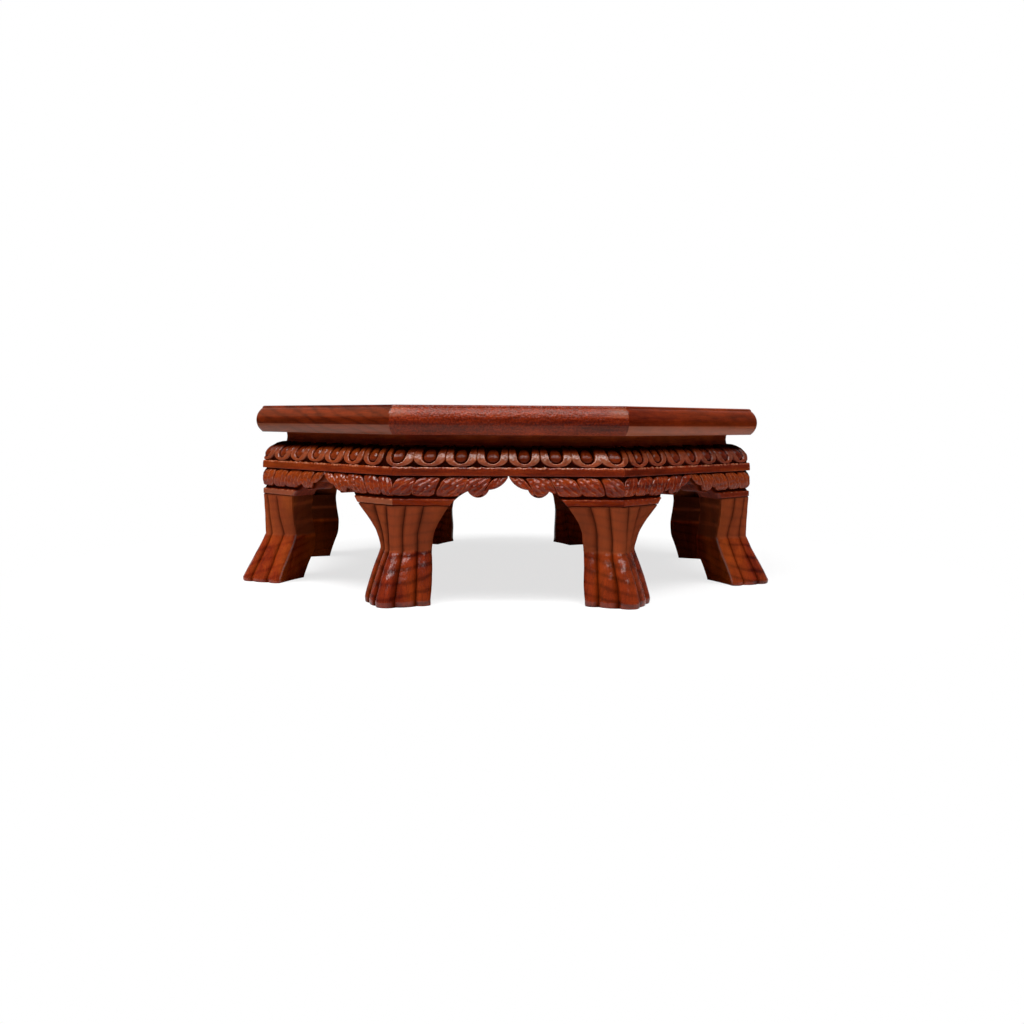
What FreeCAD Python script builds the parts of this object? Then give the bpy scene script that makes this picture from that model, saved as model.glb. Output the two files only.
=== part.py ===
"""An eight-sided bajot low table, carved in hardwood, in millimetres.

+Z is up and the origin is on the floor under the middle of the top. Each side piece is drawn once
for the front side, whose outward direction is -Y, and each leg once with its outer corner
towards +X. The other seven of each are the same piece turned about the table's axis.
"""

import FreeCAD, Part
import os
import re

import Sketcher

SIDES = 8
TURN = 360 / SIDES
HALF = TURN / 2
SQUARE = 90

SIZES = {
    # Heights of the layers, from the floor up
    "leg_height": 91.5,
    "necking_height": 7,
    "groove_height": 1.8,
    "leaf_height": 19.2,
    "fillet_height": 8,
    "ovolo_radius": 20,
    "neck_height": 10,
    "top_thickness": 27.7,
    # Sizes across the flats, and the widths of the rails
    "top_across": 522,
    "top_rail_width": 70,
    "neck_across": 474,
    "neck_rail_width": 40,
    "fillet_across": 520,
    "ring_rail_width": 58,
    # Edge of the top and the cove of the neck
    "top_bulge": 5.8,
    "edge_ease": 2.5,
    "neck_cove": 0.8,
    # Centre panel, its tongue, and the battens under it
    "panel_thickness": 18,
    "tongue_thickness": 8,
    "tongue_length": 10,
    "tongue_drop": 5,
    "tongue_play": 0.5,
    "batten_width": 40,
    "batten_thickness": 16,
    "batten_place": 55,
    "batten_play": 1,
    # Loose tongues across the mitres of the top frame
    "spline_length": 40,
    "spline_width": 24,
    "spline_thickness": 6,
    "spline_rise": 5,
    # Ring moulding
    "fillet_ledge": 1,
    "ring_pitch": 29.2,
    "ring_reach": 14.4,
    "ring_rise": 9.5,
    "ring_place": 9.6,
    "ring_eye": 6.6,
    "ring_relief": 2.4,
    "bead_radius": 4.7,
    "bead_proud": 0.4,
    # Leaf brackets and the arch between two legs
    "bracket_thickness": 28,
    "necking_setback": 1,
    "leaf_overhang": 1.4,
    "leaf_relief": 4.6,
    "leaf_width": 19.5,
    "leaf_lean": 6,
    "leaf_bow": 1.5,
    "ear_reach": 54.7,
    "ear_hollow": 1.3,
    "notch_reach": 37.7,
    "notch_drop": 14.2,
    "lobe_depth": 6.6,
    "cusp_reach": 18.1,
    "cusp_drop": 12.8,
    "cusp_swell": 3.2,
    "apex_gap": 0.6,
    # Legs
    "toe_span": 558.8,
    "toe_height": 5,
    "toe_draw": 2,
    "toe_face": 47,
    "toe_swell": 2.6,
    "ankle_height": 48.5,
    "ankle_radius": 277.4,
    "ear_start": 51.5,
    "leg_top_radius": 279.6,
    "post_face": 38,
    "reed_swell": 1.5,
    "top_swell": 0.9,
    "leg_back": 227,
    "foot_back": 238,
    "stub_back": 210,
    "stub_half": 30,
    # Dowels and screws
    "dowel_radius": 4,
    "dowel_half": 14,
    "stub_dowel_radius": 226,
    "stub_dowel_aside": 20,
    "side_dowel_aside": 17,
    "side_dowel_rise": 9,
    "bracket_dowel_reach": 62,
    "bracket_dowel_depth": 14,
    "screw_radius": 2.2,
    "screw_head_radius": 4.4,
    "screw_head_height": 3,
    "screw_bite": 14,
    "batten_screw_bite": 11,
    "top_screw_reach": 45,
    "top_screw_depth": 42,
    "fit_gap": 0.1,
    "end_gap": 0.5,
    "overrun": 20,
}

# Levels of the layers, worked out from their heights
NECKING = "leg_height"
GROOVE = f"({NECKING} + necking_height)"
LEAF = f"({GROOVE} + groove_height)"
FILLET = f"({LEAF} + leaf_height)"
OVOLO = f"({FILLET} + fillet_height)"
NECK = f"({OVOLO} + ovolo_radius)"
TOP = f"({NECK} + neck_height)"
CROWN = f"({TOP} + top_thickness)"

# Distances of faces from the axis, square to a side
TOP_OUT = "(top_across / 2)"
TOP_IN = f"({TOP_OUT} - top_rail_width)"
NECK_OUT = "(neck_across / 2)"
NECK_IN = f"({NECK_OUT} - neck_rail_width)"
FILLET_OUT = "(fillet_across / 2)"
RING_IN = f"({FILLET_OUT} - ring_rail_width)"
OVOLO_CENTRE = f"({FILLET_OUT} - fillet_ledge - ovolo_radius)"
BRACKET_IN = f"({FILLET_OUT} - bracket_thickness)"

LEAVES = 5
BOARDS = 4

doc = FreeCAD.newDocument("BajotTable")
sheet = doc.addObject("Spreadsheet::Sheet", "Sizes")
for row, (alias, size) in enumerate(SIZES.items(), start=1):
    sheet.set(f"A{row}", alias)
    sheet.set(f"B{row}", str(size))
    sheet.setAlias(f"B{row}", alias)
doc.recompute()

nodes = {}


def full(expression):
    """The expression with each size's name written as a cell of the sheet."""
    return re.sub(r"[a-z]\w*", lambda word: "Sizes." * (word[0] in SIZES) + word[0], str(expression))


def value(expression):
    return float(sheet.evalExpression(full(expression)))


def bind(item, **sizes):
    for name, expression in sizes.items():
        item.setExpression(name, full(expression))


def place(item, x=0, y=0, z=0, axis=(0, 0, 1), angle=0):
    """Turns an object about an axis through its own origin, and ties its place to the sheet."""
    item.Placement = FreeCAD.Placement(FreeCAD.Vector(), FreeCAD.Rotation(FreeCAD.Vector(axis), angle))
    for letter, expression in zip("xyz", (x, y, z)):
        item.setExpression(f"Placement.Base.{letter}", full(expression))


def new(kind, name, **sizes):
    item = doc.addObject(kind, name)
    bind(item, **sizes)
    return item


def joined(name, items):
    result = doc.addObject("Part::MultiFuse", name)
    result.Shapes = items
    return result


def cut(name, base, tool):
    result = doc.addObject("Part::Cut", name)
    result.Base, result.Tool = base, tool
    return result


def shared(name, base, tool):
    result = doc.addObject("Part::Common", name)
    result.Base, result.Tool = base, tool
    return result


def sketch_on(body, name, role, offset=0):
    """A sketch on one of the body's own origin planes, moved along that plane's normal."""
    sketch = body.newObject("Sketcher::SketchObject", name)
    support = next(item for item in body.Origin.OriginFeatures if item.Role == role)
    sketch.AttachmentSupport = (support, "")
    sketch.MapMode = "FlatFace"
    sketch.setExpression("AttachmentOffset.Base.z", full(offset))
    return sketch


def fix(sketch, kind, expression, *where):
    """Adds one dimension to a sketch and ties it to the sheet."""
    index = sketch.addConstraint(Sketcher.Constraint(kind, *where, value(expression)))
    if value(expression):
        sketch.setExpression(f"Constraints[{index}]", full(expression))


def outline(sketch, points):
    """Draws a closed outline through points, given as (across, up) or (across, up, swell).

    A swell makes the edge to the next point an arc, which stands that far out to the right of
    the way there, or to the left if it is negative.
    """
    first = sketch.GeometryCount
    spots = [FreeCAD.Vector(value(x), value(y), 0) for x, y, *_ in points]
    ends = []
    for index, (x, y, *swell) in enumerate(points):
        here, there = spots[index], spots[(index + 1) % len(points)]
        if not swell:
            sketch.addGeometry(Part.LineSegment(here, there), False)
            ends.append((1, 2))
            continue
        rise = value(swell[0])
        way = there - here
        aside = FreeCAD.Vector(way.y, -way.x, 0).normalize()
        start, end = (here, there) if rise > 0 else (there, here)
        arc = Part.Arc(start, (here + there) / 2 + aside * rise, end)
        sketch.addGeometry(arc, False)
        ends.append((1, 2) if rise > 0 else (2, 1))
    for index, (x, y, *swell) in enumerate(points):
        after = (index + 1) % len(points)
        sketch.addConstraint(
            Sketcher.Constraint("Coincident", first + index, ends[index][1], first + after, ends[after][0])
        )
        corner = (-1, 1, first + index, ends[index][0])
        fix(sketch, "DistanceX", x, *corner)
        fix(sketch, "DistanceY", y, *corner)
        if swell:
            x2, y2 = points[after][:2]
            chord = f"(({x2}) - ({x}))^2 + (({y2}) - ({y}))^2"
            rise = f"abs({swell[0]})"
            fix(sketch, "Radius", f"({chord}) / (8 * {rise}) + {rise} / 2", first + index)


def circle(sketch, x, y, radius):
    index = sketch.GeometryCount
    spot = FreeCAD.Vector(value(x), value(y), 0)
    sketch.addGeometry(Part.Circle(spot, FreeCAD.Vector(0, 0, 1), value(radius)), False)
    fix(sketch, "DistanceX", x, -1, 1, index, 3)
    fix(sketch, "DistanceY", y, -1, 1, index, 3)
    fix(sketch, "Radius", radius, index)


def pad(body, sketch, length, both=False):
    feature = body.newObject("PartDesign::Pad", f"{sketch.Name}Pad")
    feature.Profile = sketch
    feature.Midplane = both
    bind(feature, Length=length)


def pocket(body, sketch, length, both=False):
    feature = body.newObject("PartDesign::Pocket", f"{sketch.Name}Pocket")
    feature.Profile = sketch
    feature.Midplane = both
    bind(feature, Length=length)


def quarter_swell(radius):
    """How far a quarter circle stands out from its chord."""
    return f"({radius} * (1 - cos({SQUARE / 2})))"


def by_corner(radius, aside, side=-1):
    """A place given from the corner at one end of the front side: outwards, then along the side."""
    across = f"({side} * (({radius}) * sin({HALF}) - ({aside}) * cos({HALF})))"
    return across, f"(-({radius}) * cos({HALF}) - ({aside}) * sin({HALF}))"


def mitre(body, out, inward, ends=(-1, 1)):
    """Cuts the ends of a front side piece along the planes through the table's corners."""
    sketch = sketch_on(body, f"{body.Name}Mitre", "XY_Plane")
    far = f"({out} + overrun)"
    near = f"({inward} - overrun)"
    for end in ends:
        beyond = f"({end} * ({far} * tan({HALF}) + overrun))"
        corners = [(f"{end} * {reach} * tan({HALF})", f"-{reach}") for reach in (near, far)]
        corners += [(beyond, f"-{far}"), (beyond, f"-{near}")]
        outline(sketch, corners)
    pocket(body, sketch, f"2 * ({CROWN} + overrun)", both=True)


def rail(name, profile, out, inward):
    """A front side piece of one profile, drawn square to the side, with its ends mitred."""
    body = doc.addObject("PartDesign::Body", name)
    sketch = sketch_on(body, f"{name}Profile", "YZ_Plane")
    outline(sketch, profile)
    pad(body, sketch, f"2 * {out} * tan({HALF}) + overrun", both=True)
    mitre(body, out, inward)
    return body


def around(name, first, start=0):
    """Names the first piece as a node and repeats it about the axis, once for each other side."""
    for index in range(SIDES):
        piece = first
        if index:
            piece = doc.addObject("App::Link", f"{name}_{index + 1}")
            piece.LinkedObject = first
        turned = FreeCAD.Rotation(FreeCAD.Vector(0, 0, 1), start + index * TURN)
        piece.Placement = FreeCAD.Placement(FreeCAD.Vector(), turned)
        node(f"{name}_{index + 1}", piece)


def node(name, item):
    item.Label = name
    nodes[name] = item


def repeated(name, items, start=0):
    """A node of loose pieces: the set that belongs to one side or corner, at all of them."""
    one = doc.addObject("Part::Compound", f"{name}_of_one")
    one.Links = items
    copies = []
    for index in range(SIDES):
        copy = doc.addObject("App::Link", f"{name}_at_{index + 1}")
        copy.LinkedObject = one
        turned = FreeCAD.Rotation(FreeCAD.Vector(0, 0, 1), start + index * TURN)
        copy.Placement = FreeCAD.Placement(FreeCAD.Vector(), turned)
        copies.append(copy)
    group = doc.addObject("Part::Compound", name)
    group.Links = copies
    node(name, group)


def make_top_rails():
    """Mitred rails with a rounded outer edge, grooved inside for the panel's tongue."""
    tongue_top = f"({CROWN} - tongue_drop)"
    tongue_foot = f"({tongue_top} - tongue_thickness)"
    groove = f"({TOP_IN} + tongue_length)"
    ease = quarter_swell("edge_ease")
    eased = f"({TOP_OUT} - edge_ease)"
    profile = [(f"-{TOP_OUT}", TOP), (f"-{TOP_IN}", TOP), (f"-{TOP_IN}", tongue_foot)]
    profile += [(f"-{groove}", tongue_foot), (f"-{groove}", tongue_top), (f"-{TOP_IN}", tongue_top)]
    profile += [(f"-{TOP_IN}", CROWN), (f"-{eased}", CROWN, ease)]
    profile += [(f"-{TOP_OUT}", f"{CROWN} - edge_ease", "top_bulge")]
    body = rail("TopRail", profile, f"({TOP_OUT} + top_bulge)", TOP_IN)
    slots = sketch_on(body, "SplineSlots", "XY_Plane", f"{TOP} + spline_rise + spline_thickness")
    middle = f"(({TOP_OUT} + {TOP_IN}) / 2 / cos({HALF}))"
    for side in (-1, 1):
        near, far = f"({middle} - spline_length / 2)", f"({middle} + spline_length / 2)"
        ways = ((near, "-spline_width / 2"), (far, "-spline_width / 2"))
        ways += ((far, "spline_width / 2"), (near, "spline_width / 2"))
        outline(slots, [by_corner(radius, aside, side) for radius, aside in ways])
    pocket(body, slots, "spline_thickness")
    holes = sketch_on(body, "TopScrewHoles", "XY_Plane", f"{TOP} + screw_bite + end_gap")
    screw_circles(holes)
    pocket(body, holes, "screw_bite + end_gap + overrun")
    around("top_rail", body)

    spline = new("Part::Box", "Spline", Length="spline_length", Width="spline_width")
    bind(spline, Height="spline_thickness")
    place(spline, f"{middle} - spline_length / 2", "-spline_width / 2", f"{TOP} + spline_rise")
    repeated("mitre_splines", [spline], HALF)


def screw_circles(sketch, radius="screw_radius + fit_gap"):
    """The two screws that hold one side of the frames together."""
    for side in (-1, 1):
        circle(sketch, f"{side} * top_screw_reach", f"-({FILLET_OUT} - top_screw_depth)", radius)


def screw(name, length, foot):
    """A countersunk wood screw standing point up, with its head's face at the foot level."""
    body = doc.addObject("PartDesign::Body", name)
    sketch = sketch_on(body, f"{name}Profile", "XZ_Plane")
    point = f"({foot} + {length})"
    profile = [(0, foot), ("screw_head_radius", foot), ("screw_radius", f"{foot} + screw_head_height")]
    profile += [("screw_radius", f"{point} - 2 * screw_radius"), (0, point)]
    outline(sketch, profile)
    turned = body.newObject("PartDesign::Revolution", f"{name}Turned")
    turned.Profile = sketch
    turned.ReferenceAxis = (sketch, ["V_Axis"])
    turned.Angle = 360
    return body


def screws_at(name, master, places):
    """The same screw at each place: the first is the master and the others are links to it."""
    items = []
    for index, (x, y) in enumerate(places):
        item = master
        if index:
            item = doc.addObject("App::Link", f"{name}_{index + 1}")
            item.LinkedObject = master
        item.Placement.Base = FreeCAD.Vector(value(x), value(y), 0)
        items.append(item)
    return items


def make_neck_rails():
    """Plain mitred rails, a little hollow on the outside, that lift the top off the mouldings."""
    profile = [(f"-{NECK_OUT}", NECK), (f"-{NECK_IN}", NECK), (f"-{NECK_IN}", TOP)]
    profile += [(f"-{NECK_OUT}", TOP, "-neck_cove")]
    body = rail("NeckRail", profile, NECK_OUT, NECK_IN)
    holes = sketch_on(body, "NeckScrewHoles", "XY_Plane")
    screw_circles(holes)
    pocket(body, holes, f"2 * ({TOP} + overrun)", both=True)
    around("neck_rail", body)


def make_ring_rails():
    """A fillet below a quarter-round, which is carved with a row of rings and beads."""
    ground = "(ovolo_radius - ring_relief)"
    foot = f"({OVOLO_CENTRE} + ovolo_radius)"
    profile = [(f"-{FILLET_OUT}", FILLET), (f"-{RING_IN}", FILLET), (f"-{RING_IN}", NECK)]
    crest = f"{NECK} - ring_relief"
    profile += [(f"-{OVOLO_CENTRE}", NECK), (f"-{OVOLO_CENTRE}", crest, quarter_swell(ground))]
    profile += [(f"-({OVOLO_CENTRE} + {ground})", OVOLO), (f"-{FILLET_OUT}", OVOLO)]
    core = rail("RingCore", profile, FILLET_OUT, RING_IN)
    crust = [(f"-{OVOLO_CENTRE}", crest), (f"-{OVOLO_CENTRE}", NECK, quarter_swell("ovolo_radius"))]
    crust += [(f"-{foot}", OVOLO), (f"-({OVOLO_CENTRE} + {ground})", OVOLO, f"-{quarter_swell(ground)}")]
    skin = rail("RingSkin", crust, FILLET_OUT, OVOLO_CENTRE)
    block = rail("BeadBlock", block_profile(), f"({FILLET_OUT} + overrun)", OVOLO_CENTRE)

    level = f"{OVOLO} + ring_place"
    sunk = "(ovolo_radius - bead_radius + bead_proud)"
    depth = f"({OVOLO_CENTRE} + sqrt({sunk}^2 - ring_place^2))"
    blanks, eyes, beads = [], [], []
    for index in range(SIDES):
        across = f"{index - (SIDES - 1) / 2} * ring_pitch"
        oval = new("Part::Ellipse", f"Oval{index + 1}", MajorRadius="ring_reach", MinorRadius="ring_rise")
        place(oval, across, f"-{OVOLO_CENTRE}", level, (1, 0, 0), SQUARE)
        blank = new("Part::Extrusion", f"Blank{index + 1}", LengthFwd="ovolo_radius + overrun")
        blank.Base = oval
        blank.Dir = (0, -1, 0)
        blank.DirMode = "Custom"
        blank.Solid = True
        blanks.append(blank)
        eye = new("Part::Cylinder", f"Eye{index + 1}", Radius="ring_eye", Height="ovolo_radius + overrun")
        place(eye, across, f"-{OVOLO_CENTRE}", level, (1, 0, 0), SQUARE)
        eyes.append(eye)
        bead = new("Part::Sphere", f"Bead{index + 1}", Radius="bead_radius")
        place(bead, across, f"-{depth}", level)
        beads.append(bead)
    rings = shared("Rings", skin, cut("RingTool", joined("RingBlanks", blanks), joined("RingEyes", eyes)))
    domes = shared("Domes", block, joined("Beads", beads))
    solid = joined("RingSolid", [core, rings, domes])
    bores = []
    for side in (-1, 1):
        spot = (f"{side} * top_screw_reach", f"-({FILLET_OUT} - top_screw_depth)")
        bores += screw_bore("Rail", *spot, FILLET, f"{NECK} - {FILLET}")
        for across, along in (leg_dowel_place(side), bracket_dowel_place(side)):
            hole = dowel_hole("RailDowelHole")
            place(hole, across, along, f"{FILLET} - dowel_half - end_gap")
            bores.append(hole)
    around("ring_rail", cut("RingRail", solid, joined("RailBores", bores)))


def screw_bore(name, x, y, foot, length):
    """A countersunk hole for a screw, up from the foot level, as two tools to cut with."""
    bore = new("Part::Cylinder", f"{name}Bore", Radius="screw_radius + fit_gap", Height=length)
    place(bore, x, y, foot)
    sink = new("Part::Cone", f"{name}Sink", Height="screw_head_height")
    bind(sink, Radius1="screw_head_radius + fit_gap", Radius2="screw_radius + fit_gap")
    place(sink, x, y, foot)
    return [bore, sink]


def block_profile():
    """A block round the moulding, wide enough to hold the beads."""
    wide = f"({FILLET_OUT} + overrun)"
    profile = [(f"-{wide}", FILLET), (f"-{OVOLO_CENTRE}", FILLET), (f"-{OVOLO_CENTRE}", TOP)]
    return profile + [(f"-{wide}", TOP)]


def leg_dowel_place(side):
    return by_corner("stub_dowel_radius", "stub_dowel_aside", side)


def bracket_dowel_place(side):
    return f"{side} * bracket_dowel_reach", f"-({FILLET_OUT} - bracket_dowel_depth)"


def dowel_hole(name):
    length = "2 * (dowel_half + end_gap)"
    return new("Part::Cylinder", name, Radius="dowel_radius + fit_gap", Height=length)


def dowel(name):
    return new("Part::Cylinder", name, Radius="dowel_radius", Height="2 * dowel_half")


def arch_outline(low):
    """The front of the left bracket from the low level up: its ear, its lobe and its half of the cusp."""
    beyond = f"-({FILLET_OUT} * tan({HALF}) + overrun)"
    points = [(beyond, low), ("-ear_reach", low, "-ear_hollow")]
    points += [("-notch_reach", f"{FILLET} - notch_drop", "lobe_depth")]
    points += [("-cusp_reach", f"{FILLET} - cusp_drop", "cusp_swell")]
    return points + [("-apex_gap", FILLET), (beyond, FILLET)]


def make_brackets():
    """Carved boards over the legs, left and right of the cusp at the middle of each side."""
    ground = f"({FILLET_OUT} + leaf_overhang - leaf_relief)"
    body = doc.addObject("PartDesign::Body", "BracketCore")
    core = sketch_on(body, "BracketOutline", "XZ_Plane", BRACKET_IN)
    outline(core, arch_outline(NECKING))
    pad(body, core, f"{ground} - {BRACKET_IN}")
    band = sketch_on(body, "Necking", "XZ_Plane", ground)
    beyond = f"-({FILLET_OUT} * tan({HALF}) + overrun)"
    slope = f"(ear_reach - notch_reach) / ({FILLET} - notch_drop - {NECKING})"
    inner = f"-ear_reach + necking_height * {slope}"
    outline(band, [(beyond, NECKING), ("-ear_reach", NECKING), (inner, GROOVE), (beyond, GROOVE)])
    pad(body, band, f"{FILLET_OUT} - necking_setback - {ground}")
    mitre(body, FILLET_OUT, BRACKET_IN, ends=(-1,))

    layer = doc.addObject("PartDesign::Body", "LeafLayer")
    front = sketch_on(layer, "LeafLayerOutline", "XZ_Plane", ground)
    outline(front, arch_outline(NECKING))
    pad(layer, front, "leaf_relief")
    mitre(layer, FILLET_OUT, BRACKET_IN, ends=(-1,))
    leaves = [make_leaf(index) for index in range(LEAVES)]
    carving = shared("Leaves", layer, joined("LeafBlanks", leaves))

    holes = [dowel_hole("TopDowelHole"), dowel_hole("SideDowelHole")]
    place(holes[0], *bracket_dowel_place(-1), f"{FILLET} - dowel_half - end_gap")
    side_dowel(holes[1], "dowel_half + end_gap")
    left = cut("BracketLeft", joined("BracketSolid", [body, carving]), joined("BracketHoles", holes))
    around("bracket_left", left)
    right = doc.addObject("Part::Mirroring", "BracketRight")
    right.Source = left
    right.Normal = (1, 0, 0)
    around("bracket_right", right)


def make_leaf(index):
    """One leaf: an oval cushion that leans towards the middle of the side."""
    pitch = f"({FILLET_OUT} * tan({HALF}) / {LEAVES})"
    across = f"(-({LEAVES - 1 - index} + 1 / 2) * {pitch})"
    body = doc.addObject("PartDesign::Body", f"Leaf{index + 1}")
    sketch = sketch_on(body, f"LeafOutline{index + 1}", "XZ_Plane", BRACKET_IN)
    half = "((leaf_width - leaf_lean) / 2)"
    foot = f"({LEAF} - lobe_depth)" if index == LEAVES - 2 else LEAF
    low, high = f"{across} - leaf_lean / 2", f"{across} + leaf_lean / 2"
    points = [(f"{low} - {half}", foot), (f"{low} + {half}", foot, "leaf_bow")]
    points += [(f"{high} + {half}", FILLET), (f"{high} - {half}", FILLET, "leaf_bow")]
    outline(sketch, points)
    pad(body, sketch, "bracket_thickness + overrun")
    return body


def side_dowel(item, half):
    """Lays a dowel or its hole square through the back of the left bracket into the leg."""
    across = f"(-{BRACKET_IN} * tan({HALF}) + side_dowel_aside)"
    place(item, across, f"-({BRACKET_IN}) + {half}", f"{NECKING} + side_dowel_rise", (1, 0, 0), SQUARE)


def leg_section(body, name, level, corner, angle, face, reeds_share, swell, back):
    """One level of a leg: two outer faces with three reeds each, the first one shared at the corner.

    The angle is how far each outer face is turned from the way out, and the reeds' shares say
    where the two grooves of a face lie.
    """
    sketch = sketch_on(body, name, "XY_Plane", level)
    nose_share = 0.85
    shoulder_share = 0.5
    depth = f"(({face}) * {reeds_share[0]} * sin({angle}))"
    tip = f"(({corner}) + {depth} * (1 - {nose_share}))"

    def on_face(share, side):
        along = f"(({face}) * {share})"
        return f"{tip} - {along} * sin({angle})", f"{side} * {along} * cos({angle})"

    end = on_face(1, 1)
    middle = f"(({end[0]}) * {shoulder_share} + ({back}) * (1 - {shoulder_share}))"
    aside = f"(({end[1]}) * {shoulder_share})"
    near_share, far_share = reeds_share
    points = [(back, 0), (middle, f"-{aside}")]
    points += [(*on_face(1, -1), swell), (*on_face(far_share, -1), swell)]
    points += [(*on_face(near_share, -1), f"({depth} * {nose_share})")]
    points += [(*on_face(near_share, 1), swell), (*on_face(far_share, 1), swell), end]
    outline(sketch, points + [(middle, aside)])
    return sketch


def make_legs():
    """Square posts with a corner outwards, eared at the top and flared to paw-like toes."""
    body = doc.addObject("PartDesign::Body", "LegBody")
    square, flat = TURN, HALF
    toe_share, post_share, top_share = (0.3, 0.72), (0.26, 0.64), (0.21, 0.55)
    nose = f"(toe_face * {toe_share[0]} * cos({square}))"
    toe = f"((toe_span / 2 - {nose}) / cos({HALF}) + {nose})"
    sole = (f"{toe} - toe_draw", square, "toe_face - toe_draw", toe_share, "toe_swell", "foot_back")
    toes = (toe, square, "toe_face", toe_share, "toe_swell", "foot_back")
    post = ("ankle_radius", square, "post_face", post_share, "reed_swell", "leg_back")
    sections = [
        leg_section(body, "Sole", 0, *sole),
        leg_section(body, "Toes", "toe_height", *toes),
        leg_section(body, "Ankle", "ankle_height", *post),
        leg_section(body, "Post", "ear_start", *post),
    ]
    ear_rise = "(leg_height - ear_start)"
    ear_face = f"(({FILLET_OUT} * tan({HALF})) - ear_reach - necking_setback)"
    ear_shares = ((0.35, 0.3, 0.06), (0.6, 0.6, 0.31), (0.8, 0.82, 0.64), (1, 1, 1))
    for step, (rise_share, turn_share, spread_share) in enumerate(ear_shares):
        level = f"ear_start + {ear_rise} * {rise_share}"
        corner = f"ankle_radius + (leg_top_radius - ankle_radius) * {rise_share}"
        angle = square + (flat - square) * turn_share
        face = f"post_face + ({ear_face} - post_face) * {spread_share}"
        reeds_share = [low + (high - low) * turn_share for low, high in zip(post_share, top_share)]
        swell = f"reed_swell + (top_swell - reed_swell) * {rise_share}"
        ear = (corner, angle, face, reeds_share, swell, "leg_back")
        sections.append(leg_section(body, f"Ear{step + 1}", level, *ear))
    loft = body.newObject("PartDesign::AdditiveLoft", "LegLoft")
    loft.Profile = sections[0]
    loft.Sections = sections[1:]
    loft.Ruled = True
    stub = sketch_on(body, "Stub", "XY_Plane", NECKING)
    nose = f"({BRACKET_IN} / cos({HALF}))"
    wing = f"({nose} - stub_half * tan({HALF}))"
    points = [(nose, 0), (wing, "stub_half"), ("stub_back", "stub_half")]
    outline(stub, points + [("stub_back", "-stub_half"), (wing, "-stub_half")])
    pad(body, stub, f"{FILLET} - {NECKING}")

    holes = []
    for side in (-1, 1):
        upright = dowel_hole("LegDowelHole")
        foot = f"{FILLET} - dowel_half - end_gap"
        place(upright, "stub_dowel_radius", f"{side} * stub_dowel_aside", foot)
        holes.append(upright)
        level = dowel_hole("LegSideHole")
        lay_in_leg(level, side, "dowel_half + end_gap")
        holes.append(level)
    around("leg", cut("Leg", body, joined("LegHoles", holes)), HALF)


def lay_in_leg(item, side, half):
    """Lays a dowel or its hole across the joint between a leg's stub and one of its brackets."""
    reach = f"({BRACKET_IN} - ({half}))"
    along = f"({BRACKET_IN} * tan({HALF}) - side_dowel_aside)"
    across = f"{reach} * cos({HALF}) + {along} * sin({HALF})"
    aside = f"{side} * ({reach} * sin({HALF}) - {along} * cos({HALF}))"
    item.Placement = FreeCAD.Placement()
    turned = FreeCAD.Rotation(FreeCAD.Vector(0, 0, 1), side * HALF)
    lying = FreeCAD.Rotation(FreeCAD.Vector(0, 1, 0), SQUARE)
    place(item, across, aside, f"{NECKING} + side_dowel_rise")
    item.Placement.Rotation = turned.multiply(lying)


def make_panel():
    """Four boards that fill the top frame, tongued into it, with two battens below."""
    blank = doc.addObject("PartDesign::Body", "PanelBlank")
    tongue_foot = f"{CROWN} - tongue_drop - tongue_thickness"
    for name, foot, thickness, reach in (
        ("Field", f"{CROWN} - panel_thickness", "panel_thickness", TOP_IN),
        ("Tongue", tongue_foot, "tongue_thickness", f"({TOP_IN} + tongue_length - tongue_play)"),
    ):
        sketch = sketch_on(blank, name, "XY_Plane", foot)
        outline(sketch, octagon(reach))
        pad(blank, sketch, thickness)
    span = f"({TOP_IN} + tongue_length)"
    pilots = joined("PilotHoles", [pilot(*spot) for side in (-1, 1) for spot in batten_screw_places(side)])
    drilled = cut("PanelDrilled", blank, pilots)
    width = f"2 * {span} / {BOARDS}"
    for index in range(BOARDS):
        strip = new("Part::Box", f"Strip{index + 1}", Length=f"2 * {span}", Width=width, Height=CROWN)
        place(strip, f"-{span}", f"-{span} + {index} * {width}", 0)
        node(f"panel_board_{index + 1}", shared(f"Board{index + 1}", drilled, strip))
    for index, side in enumerate((-1, 1)):
        batten = new("Part::Box", f"Batten{index + 1}", Width=f"2 * ({TOP_IN} - batten_play)")
        bind(batten, Length="batten_width", Height="batten_thickness")
        foot = f"{CROWN} - panel_thickness - batten_thickness"
        place(batten, f"{side} * batten_place - batten_width / 2", f"-({TOP_IN} - batten_play)", foot)
        bores = []
        for spot in batten_screw_places(side):
            bores += screw_bore("Batten", *spot, foot, "batten_thickness")
        bores = joined(f"BattenBores{index + 1}", bores)
        node(f"batten_{index + 1}", cut(f"BattenCut{index + 1}", batten, bores))


def octagon(reach):
    half = f"({reach} * tan({HALF}))"
    right = [(half, f"-{reach}"), (reach, f"-{half}"), (reach, half), (half, reach)]
    return right + [(f"-{x}", y) for x, y in reversed(right)]


def batten_screw_places(side):
    """The screws of one batten: one into the middle of each board."""
    span = f"({TOP_IN} + tongue_length)"
    alongs = [f"({index + 1 / 2 - BOARDS / 2} * 2 * {span} / {BOARDS})" for index in range(BOARDS)]
    return [(f"{side} * batten_place", along) for along in alongs]


def pilot(x, y):
    hole = new("Part::Cylinder", "Pilot", Radius="screw_radius + fit_gap")
    bind(hole, Height="batten_screw_bite + end_gap")
    place(hole, x, y, f"{CROWN} - panel_thickness")
    return hole


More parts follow.
